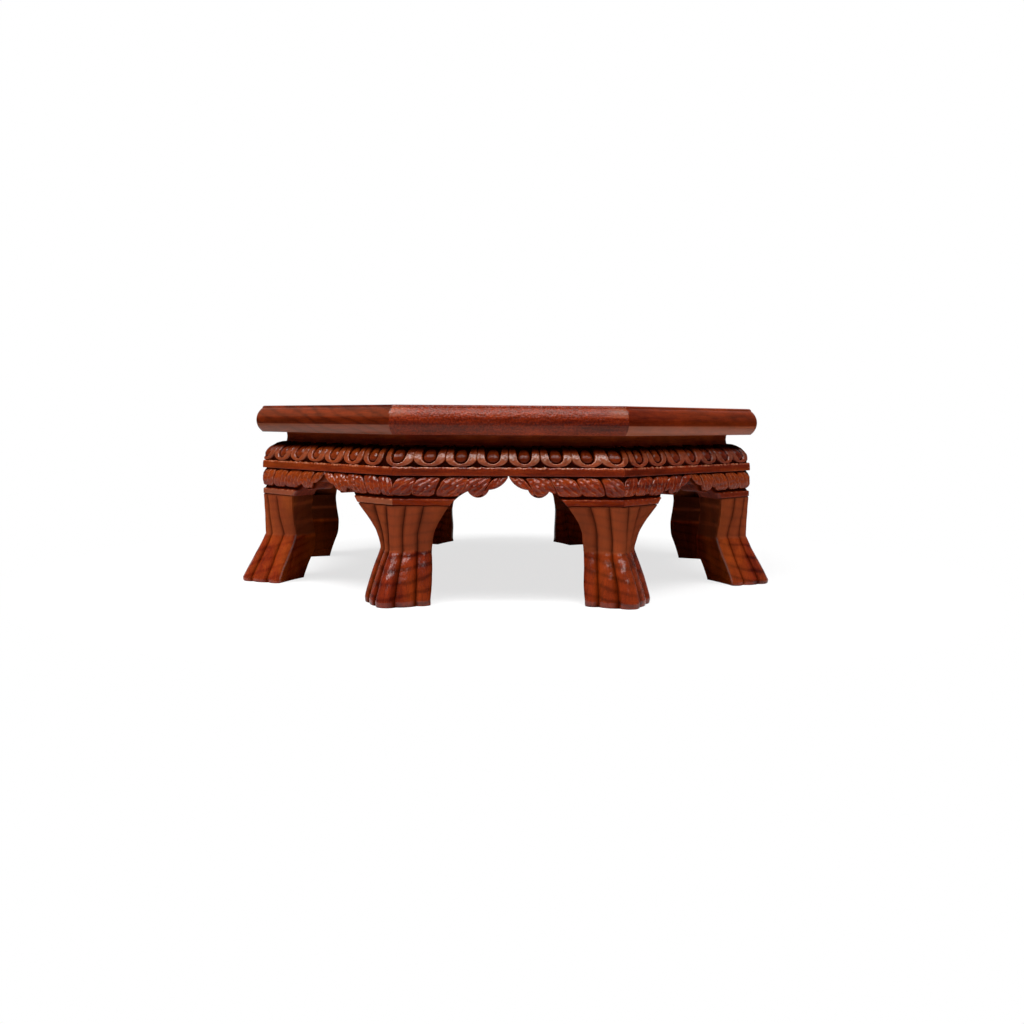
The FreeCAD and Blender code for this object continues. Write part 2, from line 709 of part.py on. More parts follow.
def make_fasteners():
    """Dowels and screws, each kind a node of loose pieces."""
    items = []
    for side in (-1, 1):
        upright = dowel("LegDowel")
        place(upright, *leg_dowel_place(side), f"{FILLET} - dowel_half")
        over = dowel("BracketDowel")
        place(over, *bracket_dowel_place(side), f"{FILLET} - dowel_half")
        items += [upright, over]
    level = dowel("SideDowel")
    side_dowel(level, "dowel_half")
    other = doc.addObject("Part::Mirroring", "SideDowelRight")
    other.Source = level
    other.Normal = (1, 0, 0)
    repeated("dowels", items + [level, other])

    long_screw = screw("TopScrew", f"({TOP} - {FILLET} + screw_bite)", FILLET)
    spots = [(f"{side} * top_screw_reach", f"-({FILLET_OUT} - top_screw_depth)") for side in (-1, 1)]
    repeated("frame_screws", screws_at("TopScrew", long_screw, spots))
    foot = f"({CROWN} - panel_thickness - batten_thickness)"
    short_screw = screw("BattenScrew", "(batten_thickness + batten_screw_bite)", foot)
    spots = batten_screw_places(-1) + batten_screw_places(1)
    group = doc.addObject("Part::Compound", "BattenScrews")
    group.Links = screws_at("BattenScrew", short_screw, spots)
    node("batten_screws", group)


def check():
    """Stops if a feature failed, a pocket cut nothing, or a piece is not sound."""
    for item in doc.Objects:
        if {"Invalid", "Error"} & set(item.State):
            raise SystemExit(f"{item.Name} failed: {item.State}")
        if item.TypeId == "PartDesign::Pocket" and not item.Shape.Volume < item.BaseFeature.Shape.Volume:
            raise SystemExit(f"{item.Name} cuts nothing")
    for name, item in nodes.items():
        shape = Part.getShape(item)
        if shape.isNull() or not shape.isValid() or not shape.Solids:
            raise SystemExit(f"{name} is not a sound solid")


make_top_rails()
make_panel()
make_neck_rails()
make_ring_rails()
make_brackets()
make_legs()
make_fasteners()
doc.recompute()
check()

os.makedirs("parts", exist_ok=True)
for name, item in nodes.items():
    Part.getShape(item).exportStep(f"parts/{name}.step")
print(len(nodes), "nodes,", sum(len(Part.getShape(item).Solids) for item in nodes.values()), "solids")
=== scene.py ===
import math
from collections import namedtuple

import bpy
import numpy as np
from mathutils import Matrix, Vector


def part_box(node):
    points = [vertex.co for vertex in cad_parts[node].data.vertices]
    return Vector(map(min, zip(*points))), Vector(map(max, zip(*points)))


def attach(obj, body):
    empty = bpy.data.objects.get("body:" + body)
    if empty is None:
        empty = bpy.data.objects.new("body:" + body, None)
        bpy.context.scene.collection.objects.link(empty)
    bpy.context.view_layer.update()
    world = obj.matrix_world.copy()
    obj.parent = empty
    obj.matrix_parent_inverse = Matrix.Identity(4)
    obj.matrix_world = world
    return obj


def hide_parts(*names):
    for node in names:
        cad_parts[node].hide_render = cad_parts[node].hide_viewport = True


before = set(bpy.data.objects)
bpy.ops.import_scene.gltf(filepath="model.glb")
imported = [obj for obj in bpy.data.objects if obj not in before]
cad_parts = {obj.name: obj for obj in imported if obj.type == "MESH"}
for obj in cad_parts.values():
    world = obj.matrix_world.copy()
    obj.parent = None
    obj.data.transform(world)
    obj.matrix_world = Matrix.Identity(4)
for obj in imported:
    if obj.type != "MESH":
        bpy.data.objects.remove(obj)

# The rails, brackets and legs of the table are carved finer here than in the CAD model, and its
# other pieces get materials. Shapes are worked out in millimetres and written to the meshes in
# metres. Side 0 is the front, towards -Y, and the others follow to its right, seen from the
# camera. Leg 0 stands between sides 2 and 3, and leg 5 left of the front.
MM = 0.001
SIDES = 8
TURN = 2 * math.pi / SIDES
HALF = TURN / 2
TAN, COS = math.tan(HALF), math.cos(HALF)

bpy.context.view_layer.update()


def levels(node):
    """Lowest and highest corner of a CAD node, in millimetres."""
    low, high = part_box(node)
    return np.array(low) / MM, np.array(high) / MM


top_low, top_high = levels("top_rail_1")
neck_low, neck_high = levels("neck_rail_1")
ring_low, ring_high = levels("ring_rail_1")
bracket_low, bracket_high = levels("bracket_left_1")

# Heights, from the top down
OVOLO_RADIUS, LEAF_BAND, GROOVE_BAND = 20, 19.2, 1.8
CROWN, TOP, NECK = top_high[2], neck_high[2], ring_high[2]
OVOLO = NECK - OVOLO_RADIUS
FILLET = ring_low[2]
LEAF = FILLET - LEAF_BAND
GROOVE = LEAF - GROOVE_BAND
NECKING = bracket_low[2]

# Distances from the axis, square to a side
FILLET_LEDGE, NECKING_SETBACK = 1, 1
TOP_OUT, TOP_IN = -top_low[1], -top_high[1]
NECK_OUT, NECK_IN = -neck_low[1], -neck_high[1]
FILLET_OUT, RING_IN = -ring_low[1], -ring_high[1]
OVOLO_FOOT = FILLET_OUT - FILLET_LEDGE
NECKING_OUT = FILLET_OUT - NECKING_SETBACK
BRACKET_IN = -bracket_high[1]
SIDE_HALF = NECKING_OUT * TAN

# Seeds of the random swells and patterns, and how far those of two pieces of a kind lie apart
TOP_SEED, NECK_SEED, RING_SEED, BRACKET_SEED, LEG_SEED = 10, 30, 50, 400, 700
RING_SEED_STEP, BRACKET_SEED_STEP, LEG_SEED_STEP = 7, 11, 13
TOP_WOOD_SEED, NECK_WOOD_SEED, RING_WOOD_SEED = 100, 200, 300
PANEL_WOOD_SEED, INNER_WOOD_SEED = 900, 920

# Angles in degrees above which an edge between faces stays sharp, by slot
SHARP = {"top_wood": 40, "neck_wood": 40, "carved_wood": 75, "leg_wood": 50}


def smooth(value):
    """Eases from 0 to 1 as the value does."""
    value = np.clip(value, 0, 1)
    return value * value * (3 - 2 * value)


def bell(value, middle, width):
    """1 at the middle, and falls off evenly to both sides of it."""
    return np.exp(-((value - middle) / width) ** 2)


def bells(value, rows):
    """The sum of bells, from rows of (height, middle, width)."""
    return sum(height * bell(value, middle, width) for height, middle, width in rows)


SWELLS, SWELL_PACES, SWELL_START, SWELL_SHARE = 6, (0.7, 1.6), 6.3, 3


def waves(seed, size, *places):
    """A gentle random swell between about -1 and 1, whose hills lie about the size apart."""
    rng = np.random.default_rng(seed)
    total = 0
    for _ in range(SWELLS):
        way = rng.normal(size=len(places))
        way *= rng.uniform(*SWELL_PACES) / np.linalg.norm(way)
        phase = rng.uniform(0, SWELL_START)
        reach = sum(w * p for w, p in zip(way, places))
        total = total + np.sin(2 * math.pi / size * reach + phase)
    return total / SWELL_SHARE


def patchy(even, uneven, seed, size, *places):
    """A random swell about the even share, held between 0 and 1."""
    return np.clip(even + uneven * waves(seed, size, *places), 0, 1)


def write_piece(node, points, material, slot_name, hollow=None, bare=None):
    """Makes a closed mesh from loops of points, filled in at both ends, in place of a CAD node.

    Painted shading is above 0 where a point is painted darker, as shade in recesses, under
    overhangs and on faces turned from the light, and below 0 where it is painted lighter, as
    highlights, sheen and reflections. Bare is 1 where it carries no varnish.
    """
    columns, rows = points.shape[:2]
    index = np.arange(columns * rows).reshape(columns, rows)
    after = np.roll(index, -1, axis=1)
    walls = np.stack([index[:-1], index[1:], after[1:], after[:-1]], axis=-1)
    corners = np.concatenate([walls.ravel(), index[0][::-1], index[-1]])
    starts = np.concatenate([np.arange(0, walls.size, 4), [walls.size, walls.size + rows]])
    name = f"{node}_finish"
    mesh = bpy.data.meshes.new(name)
    mesh.vertices.add(index.size)
    mesh.vertices.foreach_set("co", (points * MM).ravel())
    mesh.loops.add(len(corners))
    mesh.loops.foreach_set("vertex_index", corners)
    mesh.polygons.add(len(starts))
    mesh.polygons.foreach_set("loop_start", starts)
    mesh.update(calc_edges=True)
    if enclosed_volume(mesh) < 0:
        mesh.flip_normals()
    mesh.shade_smooth()
    mesh.set_sharp_from_angle(angle=math.radians(SHARP[slot_name]))
    for title, values in (("hollow", hollow), ("bare", bare)):
        if values is not None:
            layer = mesh.attributes.new(title, "FLOAT", "POINT")
            layer.data.foreach_set("value", np.asarray(values, dtype=np.float32).ravel())
    mesh.materials.append(material)
    piece = bpy.data.objects.new(name, mesh)
    bpy.context.scene.collection.objects.link(piece)
    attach(piece, "root")
    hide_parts(node)


def enclosed_volume(mesh):
    """Six times the volume inside a mesh, below 0 if its faces look inwards."""
    mesh.calc_loop_triangles()
    places = np.empty(len(mesh.vertices) * 3)
    mesh.vertices.foreach_get("co", places)
    triangles = np.empty(len(mesh.loop_triangles) * 3, int)
    mesh.loop_triangles.foreach_get("vertices", triangles)
    a, b, c = places.reshape(-1, 3)[triangles.reshape(-1, 3)].transpose(1, 0, 2)
    return (a * np.cross(b, c)).sum()


def write_rail(node, index, x, out, z, material, slot_name, hollow=None):
    """Turns a piece drawn for the front side about the axis to its own side, and writes it."""
    cosine, sine = math.cos(index * TURN), math.sin(index * TURN)
    y = -out
    points = np.stack([x * cosine - y * sine, x * sine + y * cosine, z + 0 * x], axis=-1)
    write_piece(node, points, material, slot_name, hollow)


def arc(start, end, swell, count):
    """Points from start up to but not including end, on an arc that stands out to the right."""
    start, end = np.asarray(start, float), np.asarray(end, float)
    share = np.arange(count)[:, None] / count
    chord = end - start
    if not swell:
        return start + chord * share
    half = np.linalg.norm(chord) / 2
    radius = (half * half + swell * swell) / (2 * swell)
    aside = np.array([chord[1], -chord[0]]) / (2 * half)
    centre = (start + end) / 2 + aside * (swell - radius)
    first = start - centre
    angle = 2 * math.asin(min(1, half / abs(radius))) * np.sign(swell) * share[:, 0]
    cosine, sine = np.cos(angle), np.sin(angle)
    across = first[0] * cosine - first[1] * sine
    up = first[0] * sine + first[1] * cosine
    return centre + np.stack([across, up], axis=-1)


def outline(corners):
    """A closed outline. Each corner is (across, up, swell, count) of the stretch it starts."""
    parts = []
    for index, (across, up, swell, count) in enumerate(corners):
        following = corners[(index + 1) % len(corners)]
        parts.append(arc((across, up), following[:2], swell, count))
    return np.concatenate(parts)


# Material nodes

# Sockets of a mix node for its factor and two colours, and the one of its result
MIX_INPUTS, MIX_RESULT = (0, 6, 7), 2


def node_tree(name):
    """A new material, with its node tree and its shader."""
    material = bpy.data.materials.new(name)
    material.use_nodes = True
    tree = material.node_tree
    return material, tree, tree.nodes["Principled BSDF"]


def add(tree, kind, inputs=None, **settings):
    """Adds a node. Each input is a constant, or a socket to link from."""
    node = tree.nodes.new(f"ShaderNode{kind}")
    for key, value in settings.items():
        setattr(node, key, value)
    for key, value in (inputs or {}).items():
        feed(tree, node.inputs[key], value)
    return node


def feed(tree, socket, value):
    if isinstance(value, bpy.types.NodeSocket):
        tree.links.new(value, socket)
    else:
        socket.default_value = value


def colour_ramp(tree, value, stops):
    """Colours along a value, from stops of (place, colour)."""
    node = add(tree, "ValToRGB", {"Fac": value})
    elements = node.color_ramp.elements
    while len(elements) < len(stops):
        elements.new(0.5)
    for element, (place, colour) in zip(elements, stops):
        element.position = place
        element.color = (*colour, 1)
    return node.outputs["Color"]


def level_ramp(tree, value, stops):
    """Levels along a value, from stops of (place, level)."""
    return colour_ramp(tree, value, [(place, (level,) * 3) for place, level in stops])


def mix(tree, kind, factor, first, second):
    inputs = dict(zip(MIX_INPUTS, (factor, first, second)))
    return add(tree, "Mix", inputs, data_type="RGBA", blend_type=kind).outputs[MIX_RESULT]


def maths(tree, kind, first, second, clamp=False):
    return add(tree, "Math", {0: first, 1: second}, operation=kind, use_clamp=clamp).outputs[0]


def without(tree, value, limit=False):
    """One less the value."""
    return maths(tree, "SUBTRACT", 1.0, value, clamp=limit)


def step(tree, value, low, high):
    """Rises smoothly from 0 to 1 as the value passes from low to high."""
    inputs = {"Value": value, "From Min": low, "From Max": high}
    return add(tree, "MapRange", inputs, interpolation_type="SMOOTHSTEP").outputs["Result"]


def noise(tree, vector, scale, detail, roughness, distortion=0.0):
    inputs = {"Vector": vector, "Scale": scale, "Detail": detail, "Roughness": roughness}
    return add(tree, "TexNoise", {**inputs, "Distortion": distortion}).outputs["Fac"]


def bumps(tree, shader, heights):
    """Adds bumps from (height, strength, distance in metres) one on another."""
    normal = None
    for height, strength, distance in heights:
        inputs = {"Height": height, "Strength": strength, "Distance": distance}
        if normal is not None:
            inputs["Normal"] = normal
        normal = add(tree, "Bump", inputs).outputs["Normal"]
    tree.links.new(normal, shader.inputs["Normal"])
    return normal


# Stained and varnished wood. Tone goes from dark red-brown to light, amber is how much orange lies
# in it, flame is how strong the slanting figure is, peel is how strong the orange-peel of the
# varnish is, cut is how rough the knife left it, then comes how dark the painted shade in its
# recesses and under overhangs is, and coat is how thick the varnish lies.
Looks = namedtuple(
    "Looks", "tone amber flame peel cut hollow coat", defaults=(0.5, 0.3, 0, 0.3, 0, 0, 0.5)
)
DARK, MIDDLE, LIGHT = (0.040, 0.0024, 0.0004), (0.138, 0.0130, 0.0020), (0.260, 0.042, 0.0060)
AMBER = (0.340, 0.066, 0.0050, 1)
# Painted shade leans to the first of the next two colours, painted highlights, sheen and
# reflections to the second
PAINTED_SHADE_TINT = (0.008, 0.0010, 0.0004, 1)
PAINTED_LIGHT_TINT = (0.420, 0.160, 0.080, 1)
PALE = (0.182, 0.044, 0.0175, 1)
# The stain by the figure of the wood at an even tone, and how tone shifts it
STAIN, EVEN_TONE, TONE_SHIFT = ((0.27, DARK), (0.50, MIDDLE), (0.78, LIGHT)), 0.5, 0.24
GRAIN_UPRIGHT, GRAIN_ALONG, PATTERN_SPREAD = (10, 10, 1), (1, 10, 10), 3
STREAK_SHARE, PORE_SHARE, BLOTCH_SHARE = 0.4, 0.8, 0.9
SPECKLE_DARK, SPECKLE_LIGHT = 0.35, 0.45
FLAME_SLANT, FLAME_SCALE = 1.28, 34
FINE_BUMP, FINE_DEPTH, PEEL_DEPTH, CUT_DEPTH = 0.3, 0.0003, 0.0010, 0.0014
# How strongly painted light pales and smooths the wood, how painted shade dulls its varnish, and
# how rough the coat is
PAINTED_LIGHT_STRENGTH, PAINTED_LIGHT_CALM, SHADE_DULLS, COAT_ROUGHNESS = -0.7, 3.0, 2.0, 0.12
# The upper legs: how much paler, and heights in metres over which the varnished foot ends
PALE_SHARE, FOOT_WANDER, FOOT_END_LOW, FOOT_END_HIGH = 0.53, 0.006, 0.001, 0.004


def flamed(tree, vector, figure, flame):
    """Lays thin dark slanting lines over the figure of the wood, in patches."""
    turn = {"Vector": vector, "Rotation": (0, FLAME_SLANT, 0)}
    slant = add(tree, "Mapping", turn).outputs["Vector"]
    inputs = {
        "Vector": slant, "Scale": FLAME_SCALE, "Distortion": 5, "Detail": 2, "Detail Scale": 0.5
    }
    bands = add(tree, "TexWave", inputs, wave_type="BANDS", bands_direction="X").outputs["Fac"]
    lines = level_ramp(tree, bands, [(0.0, 0.15), (0.3, 0.50), (1.0, 0.62)])
    patches = noise(tree, vector, scale=9, detail=1, roughness=0.4)
    where = level_ramp(tree, patches, [(0.35, 0.3 * flame), (0.65, flame)])
    return mix(tree, "MIX", where, figure, lines)


def wood(name, turn, seed, looks, upright=False, feet=False):
    """Stained and varnished hardwood whose grain runs along the piece.

    A mesh attribute paints shade on it, dark and dull, above 0, and paints light on it, pale and
    smooth, below 0.
    With feet, only the foot below the ankle is varnished, and not where the attribute bare is 1.
    """
    material, tree, shader = node_tree(name)
    rng = np.random.default_rng(seed)
    place = add(tree, "TexCoord").outputs["Object"]
    shift = rng.uniform(-PATTERN_SPREAD, PATTERN_SPREAD, 3).tolist()
    own = {"Vector": place, "Rotation": (0, 0, turn), "Location": shift}
    vector = add(tree, "Mapping", own, vector_type="TEXTURE").outputs["Vector"]
    stretch = {"Vector": vector, "Scale": GRAIN_UPRIGHT if upright else GRAIN_ALONG}
    grain = add(tree, "Mapping", stretch).outputs["Vector"]

    broad = noise(tree, grain, scale=6, detail=3, roughness=0.55, distortion=0.8)
    streak = noise(tree, grain, scale=30, detail=4, roughness=0.6, distortion=0.4)
    fine = noise(tree, grain, scale=120, detail=3, roughness=0.7)
    blotch = noise(tree, vector, scale=45, detail=3, roughness=0.6)
    patch = noise(tree, grain, scale=3, detail=1, roughness=0.4)
    dimples = noise(tree, vector, scale=520, detail=2, roughness=0.5)
    cuts = noise(tree, vector, scale=120, detail=2, roughness=0.5)

    figure = mix(tree, "MIX", STREAK_SHARE, broad, streak)
    if looks.flame:
        figure = flamed(tree, vector, figure, looks.flame)
    lift = TONE_SHIFT * (looks.tone - EVEN_TONE)
    colour = colour_ramp(tree, figure, [(at - lift, stain) for at, stain in STAIN])
    glow = level_ramp(tree, patch, [(0.45, 0), (0.70, looks.amber)])
    colour = mix(tree, "MIX", glow, colour, AMBER)
    pores = level_ramp(tree, fine, [(0.30, 0.62), (0.45, 1.0), (0.75, 1.10)])
    colour = mix(tree, "MULTIPLY", PORE_SHARE, colour, pores)
    clouds = level_ramp(tree, blotch, [(0.3, 0.78), (0.7, 1.18)])
    colour = mix(tree, "MULTIPLY", BLOTCH_SHARE, colour, clouds)
    dark, light = 1 - SPECKLE_DARK * looks.peel, 1 + SPECKLE_LIGHT * looks.peel
    speckle = level_ramp(tree, dimples, [(0.32, dark), (0.68, light)])
    colour = mix(tree, "MULTIPLY", 1.0, colour, speckle)
    gloss = level_ramp(tree, blotch, [(0.3, 0.40), (0.7, 0.58)])

    varnish = looks.coat
    if feet:
        level = add(tree, "SeparateXYZ", {"Vector": place}).outputs["Z"]
        level = maths(tree, "ADD", level, maths(tree, "MULTIPLY", broad, FOOT_WANDER))
        above = step(tree, level, ANKLE * MM + FOOT_END_LOW, ANKLE * MM + FOOT_END_HIGH)
        paler = mix(tree, "MIX", PALE_SHARE, colour, PALE)
        colour = mix(tree, "MIX", above, colour, paler)
        bare = add(tree, "Attribute", attribute_name="bare").outputs["Fac"]
        above = maths(tree, "MAXIMUM", above, bare)
        varnish = maths(tree, "MULTIPLY", without(tree, above), varnish)
    peel = looks.peel
    # Painted shade and painted light, read from the mesh
    if looks.hollow:
        shade_and_light = add(tree, "Attribute", attribute_name="hollow").outputs["Fac"]
        painted_shade = maths(tree, "MULTIPLY", shade_and_light, looks.hollow, clamp=True)
        rubbed = maths(tree, "MULTIPLY", shade_and_light, PAINTED_LIGHT_STRENGTH, clamp=True)
        colour = mix(tree, "MIX", painted_shade, colour, PAINTED_SHADE_TINT)
        colour = mix(tree, "MIX", rubbed, colour, PAINTED_LIGHT_TINT)
        dull = maths(tree, "MULTIPLY", painted_shade, SHADE_DULLS, clamp=True)
        varnish = maths(tree, "MULTIPLY", without(tree, dull), varnish)
        calm = without(tree, maths(tree, "MULTIPLY", rubbed, PAINTED_LIGHT_CALM), limit=True)
        peel = maths(tree, "MULTIPLY", calm, peel)
    feed(tree, shader.inputs["Coat Weight"], varnish)
    feed(tree, shader.inputs["Base Color"], colour)
    feed(tree, shader.inputs["Roughness"], gloss)
    normal = bumps(tree, shader, [
        (fine, FINE_BUMP, FINE_DEPTH), (dimples, peel, PEEL_DEPTH), (cuts, looks.cut, CUT_DEPTH)
    ])
    feed(tree, shader.inputs["Coat Normal"], normal)
    shader.inputs["Specular IOR Level"].default_value = 0
    shader.inputs["Coat Roughness"].default_value = COAT_ROUGHNESS
    return material


# Rails of the top and the neck

MITRE_EASE, MITRE_LENGTH, SWING_LENGTH = 0.35, 0.8, 60


def side_columns(profile, count, wander, seed):
    """Sweeps a closed profile of (out, z) along a side between its mitres.

    The ends are drawn in a little, so that a fine line shows at each mitre.
    """
    near = 1 - MITRE_LENGTH / (FILLET_OUT * TAN)
    shares = np.unique(np.concatenate([np.linspace(-1, 1, count), [-near, near]]))[:, None]
    out, z = profile[:, 0], profile[:, 1]
    from_middle, above_middle = out - out.mean(), z - z.mean()
    toward = np.hypot(from_middle, above_middle)
    drawn = MITRE_EASE * (np.abs(shares) > near)
    all_out = out[None] - drawn * from_middle[None] / toward
    all_z = z[None] - drawn * above_middle[None] / toward
    swing = wander * waves(seed, SWING_LENGTH, shares * out[None] * TAN, all_z)
    all_out = all_out + swing * (from_middle > 0)
    return shares * all_out * TAN, all_out, all_z


# The top rails as in the photograph, where the one in front and its neighbours differ: their wood,
# then how strong the painted sheen on the upper part of the edge is, how dark the painted shade of
# its middle, and how strong the painted reflection on its lower part
TopLooks = namedtuple("TopLooks", "tone amber flame peel coat upper_rub middle_shade lower_rub")
TOP_LOOKS = {
    0: TopLooks(0.08, 0, 0, 0.9, 0.30, 0.05, 0.36, 0.08),
    7: TopLooks(-0.16, 0.10, 0.26, 0.10, 0.36, 0.10, 0.30, 0.26),
    1: TopLooks(0.24, 0.15, 0.1, 0.15, 0.36, 0.02, 0.34, 0.34),
}
OTHER_TOP_LOOKS = TopLooks(0.42, 0.3, 0.3, 0.3, 0.42, 0.05, 0.30, 0.20)
TOP_BULGE, TOP_EASE, TOP_BRINK, TOP_BRINK_SWELL = 5.8, 2.5, 0.5, 0.1
TOP_COLUMNS, TOP_WANDER = 48, 0.12
# Parts of the edge as shares of its height from the crown down
UPPER_FROM, UPPER_TO, SHADE_FROM, SHADE_EASE, SHADE_TO = 0.05, 0.45, 0.36, 0.18, 0.67
# The front rail shows no painted shade above 0, and has a painted glint at both ends, by distance
# from the middle
GLINT, GLINT_FROM, GLINT_TO, GLINT_START, GLINT_EASE = 0.22, 0.06, 0.40, 84, 18


def make_top_rail(index):
    """A mitred rail whose edge bulges from a crisp lower corner up to an eased one."""
    flat = TOP_OUT - TOP_BULGE
    profile = outline([
        (TOP_IN, TOP, 0, 2),
        (flat - TOP_BRINK, TOP, TOP_BRINK_SWELL, 3),
        (flat, TOP + TOP_BRINK, TOP_BULGE, 34),
        (flat, CROWN - TOP_EASE, TOP_EASE * (1 - math.cos(math.pi / 4)), 6),
        (flat - TOP_EASE, CROWN, 0, 6),
        (TOP_IN, CROWN, 0, 2),
    ])
    x, out, z = side_columns(profile, TOP_COLUMNS, TOP_WANDER, TOP_SEED + index)
    looks = TOP_LOOKS.get(index, OTHER_TOP_LOOKS)
    down = (CROWN - z) / (CROWN - TOP)
    # Painted shade over the middle of the edge, painted reflection on its lower part and painted
    # sheen on its upper part
    shade = looks.middle_shade * smooth((down - SHADE_FROM) / SHADE_EASE) * (down < SHADE_TO)
    hollow = shade - looks.lower_rub * (down >= SHADE_TO)
    hollow -= looks.upper_rub * (down > UPPER_FROM) * (down < UPPER_TO)
    # A painted glint at both ends of the front rail
    if index == 0:
        glint = smooth((np.abs(x) - GLINT_START) / GLINT_EASE)
        glint *= (down > GLINT_FROM) * (down < GLINT_TO)
        hollow = np.minimum(hollow, -GLINT * glint)
    hollow *= out > flat - 1
    grain = Looks(*looks[:4], hollow=0.9, coat=looks.coat)
    material = wood(f"top_wood_{index}", index * TURN, TOP_WOOD_SEED + index, grain)
    node = f"top_rail_{index + 1}"
    write_rail(node, index, x, out, z, material, "top_wood", hollow)


NECK_COVE, NECK_COLUMNS, NECK_WANDER = 0.8, 30, 0.1


def make_neck_rail(index):
    """A plain dark rail, slightly hollow outside."""
    profile = outline([
        (NECK_IN, NECK, 0, 2),
        (NECK_OUT, NECK, -NECK_COVE, 8),
        (NECK_OUT, TOP, 0, 2),
        (NECK_IN, TOP, 0, 2),
    ])
    x, out, z = side_columns(profile, NECK_COLUMNS, NECK_WANDER, NECK_SEED + index)
    looks = Looks(tone=0.80, amber=0.1, peel=0.1, coat=0.05)
    material = wood(f"neck_wood_{index}", index * TURN, NECK_WOOD_SEED + index, looks)
    write_rail(f"neck_rail_{index + 1}", index, x, out, z, material, "neck_wood")


# The ring row. Places of the rings are given along the table's edge from the middle of the front

RING_RISE, RING_RELIEF = 9.9, 2.4
RING_LEVEL = OVOLO_FOOT - OVOLO_RADIUS * (1 - math.cos(RING_RISE / OVOLO_RADIUS))
RING_SIDE = 2 * RING_LEVEL * TAN
EDGE_LENGTH = SIDES * RING_SIDE
FRONT_RINGS = (-103.0, -73.6, -44.2, -15.0, 14.4, 44.0, 73.2, 99.4)
RIGHT_RINGS = (-82.5, -53.5, -23.0, 5.0, 33.0, 63.5, 92.5)
LEFT_RINGS = (-104.9, -75.4, -45.9, -15.9, 13.8, 44.7, 75.5)
OTHER_RINGS = 36


def ring_places():
    """The rings of the three sides in the photograph as they are there, the rest evenly spread."""
    right = [RING_SIDE + place for place in RIGHT_RINGS]
    left = [-RING_SIDE + place for place in LEFT_RINGS]
    rest = np.linspace(right[-1], left[0] + EDGE_LENGTH, OTHER_RINGS + 2)[1:-1]
    return np.concatenate([left, FRONT_RINGS, right, rest])


RINGS = ring_places()
# Half sizes of a ring, of the eye in it and of the bead in that, below and above their middle
RING_HALF, RING_BELOW, RING_ABOVE, RING_POWER = 15.5, 9.9, 40, 2.2
EYE_HALF, EYE_GROWTH, EYE_BELOW = 6.7, 0.12, 6.4
BEAD_HALF, BEAD_BELOW, BEAD_ABOVE = 5.7, 5.5, 12
RING_TILT, RING_LIFT, SIZE_SPREADS = 0.4, 0.3, (0.02, 0.05, 0.06)
# Lengths over which a ring rises at its rim and at its eye, then heights as shares of the relief
RIM_LENGTH, RIM_EASE, EYE_LENGTH, EYE_EASE, EYE_LEAD = 12, 1.1, 6.6, 0.5, 0.15
BAND_RISE, LIP_RISE, CUSHION_RISE, GROUND_RISE = 0.86, 0.12, 0.10, 0.06
BEAD_FOOT, BEAD_RISE, BAND_ROUGH, GROUND_ROUGH, ROUGH_LENGTH = 0.15, 0.97, 0.05, 0.06, 4
# How strongly a painted highlight pales the outer rim, a painted sheen the middle of a ring, and a
# painted highlight the bead
OUTER_RIM, SHEEN, SHEEN_HEIGHT, BEAD_HIGHLIGHT = 0.4, 0.62, 6, -0.35


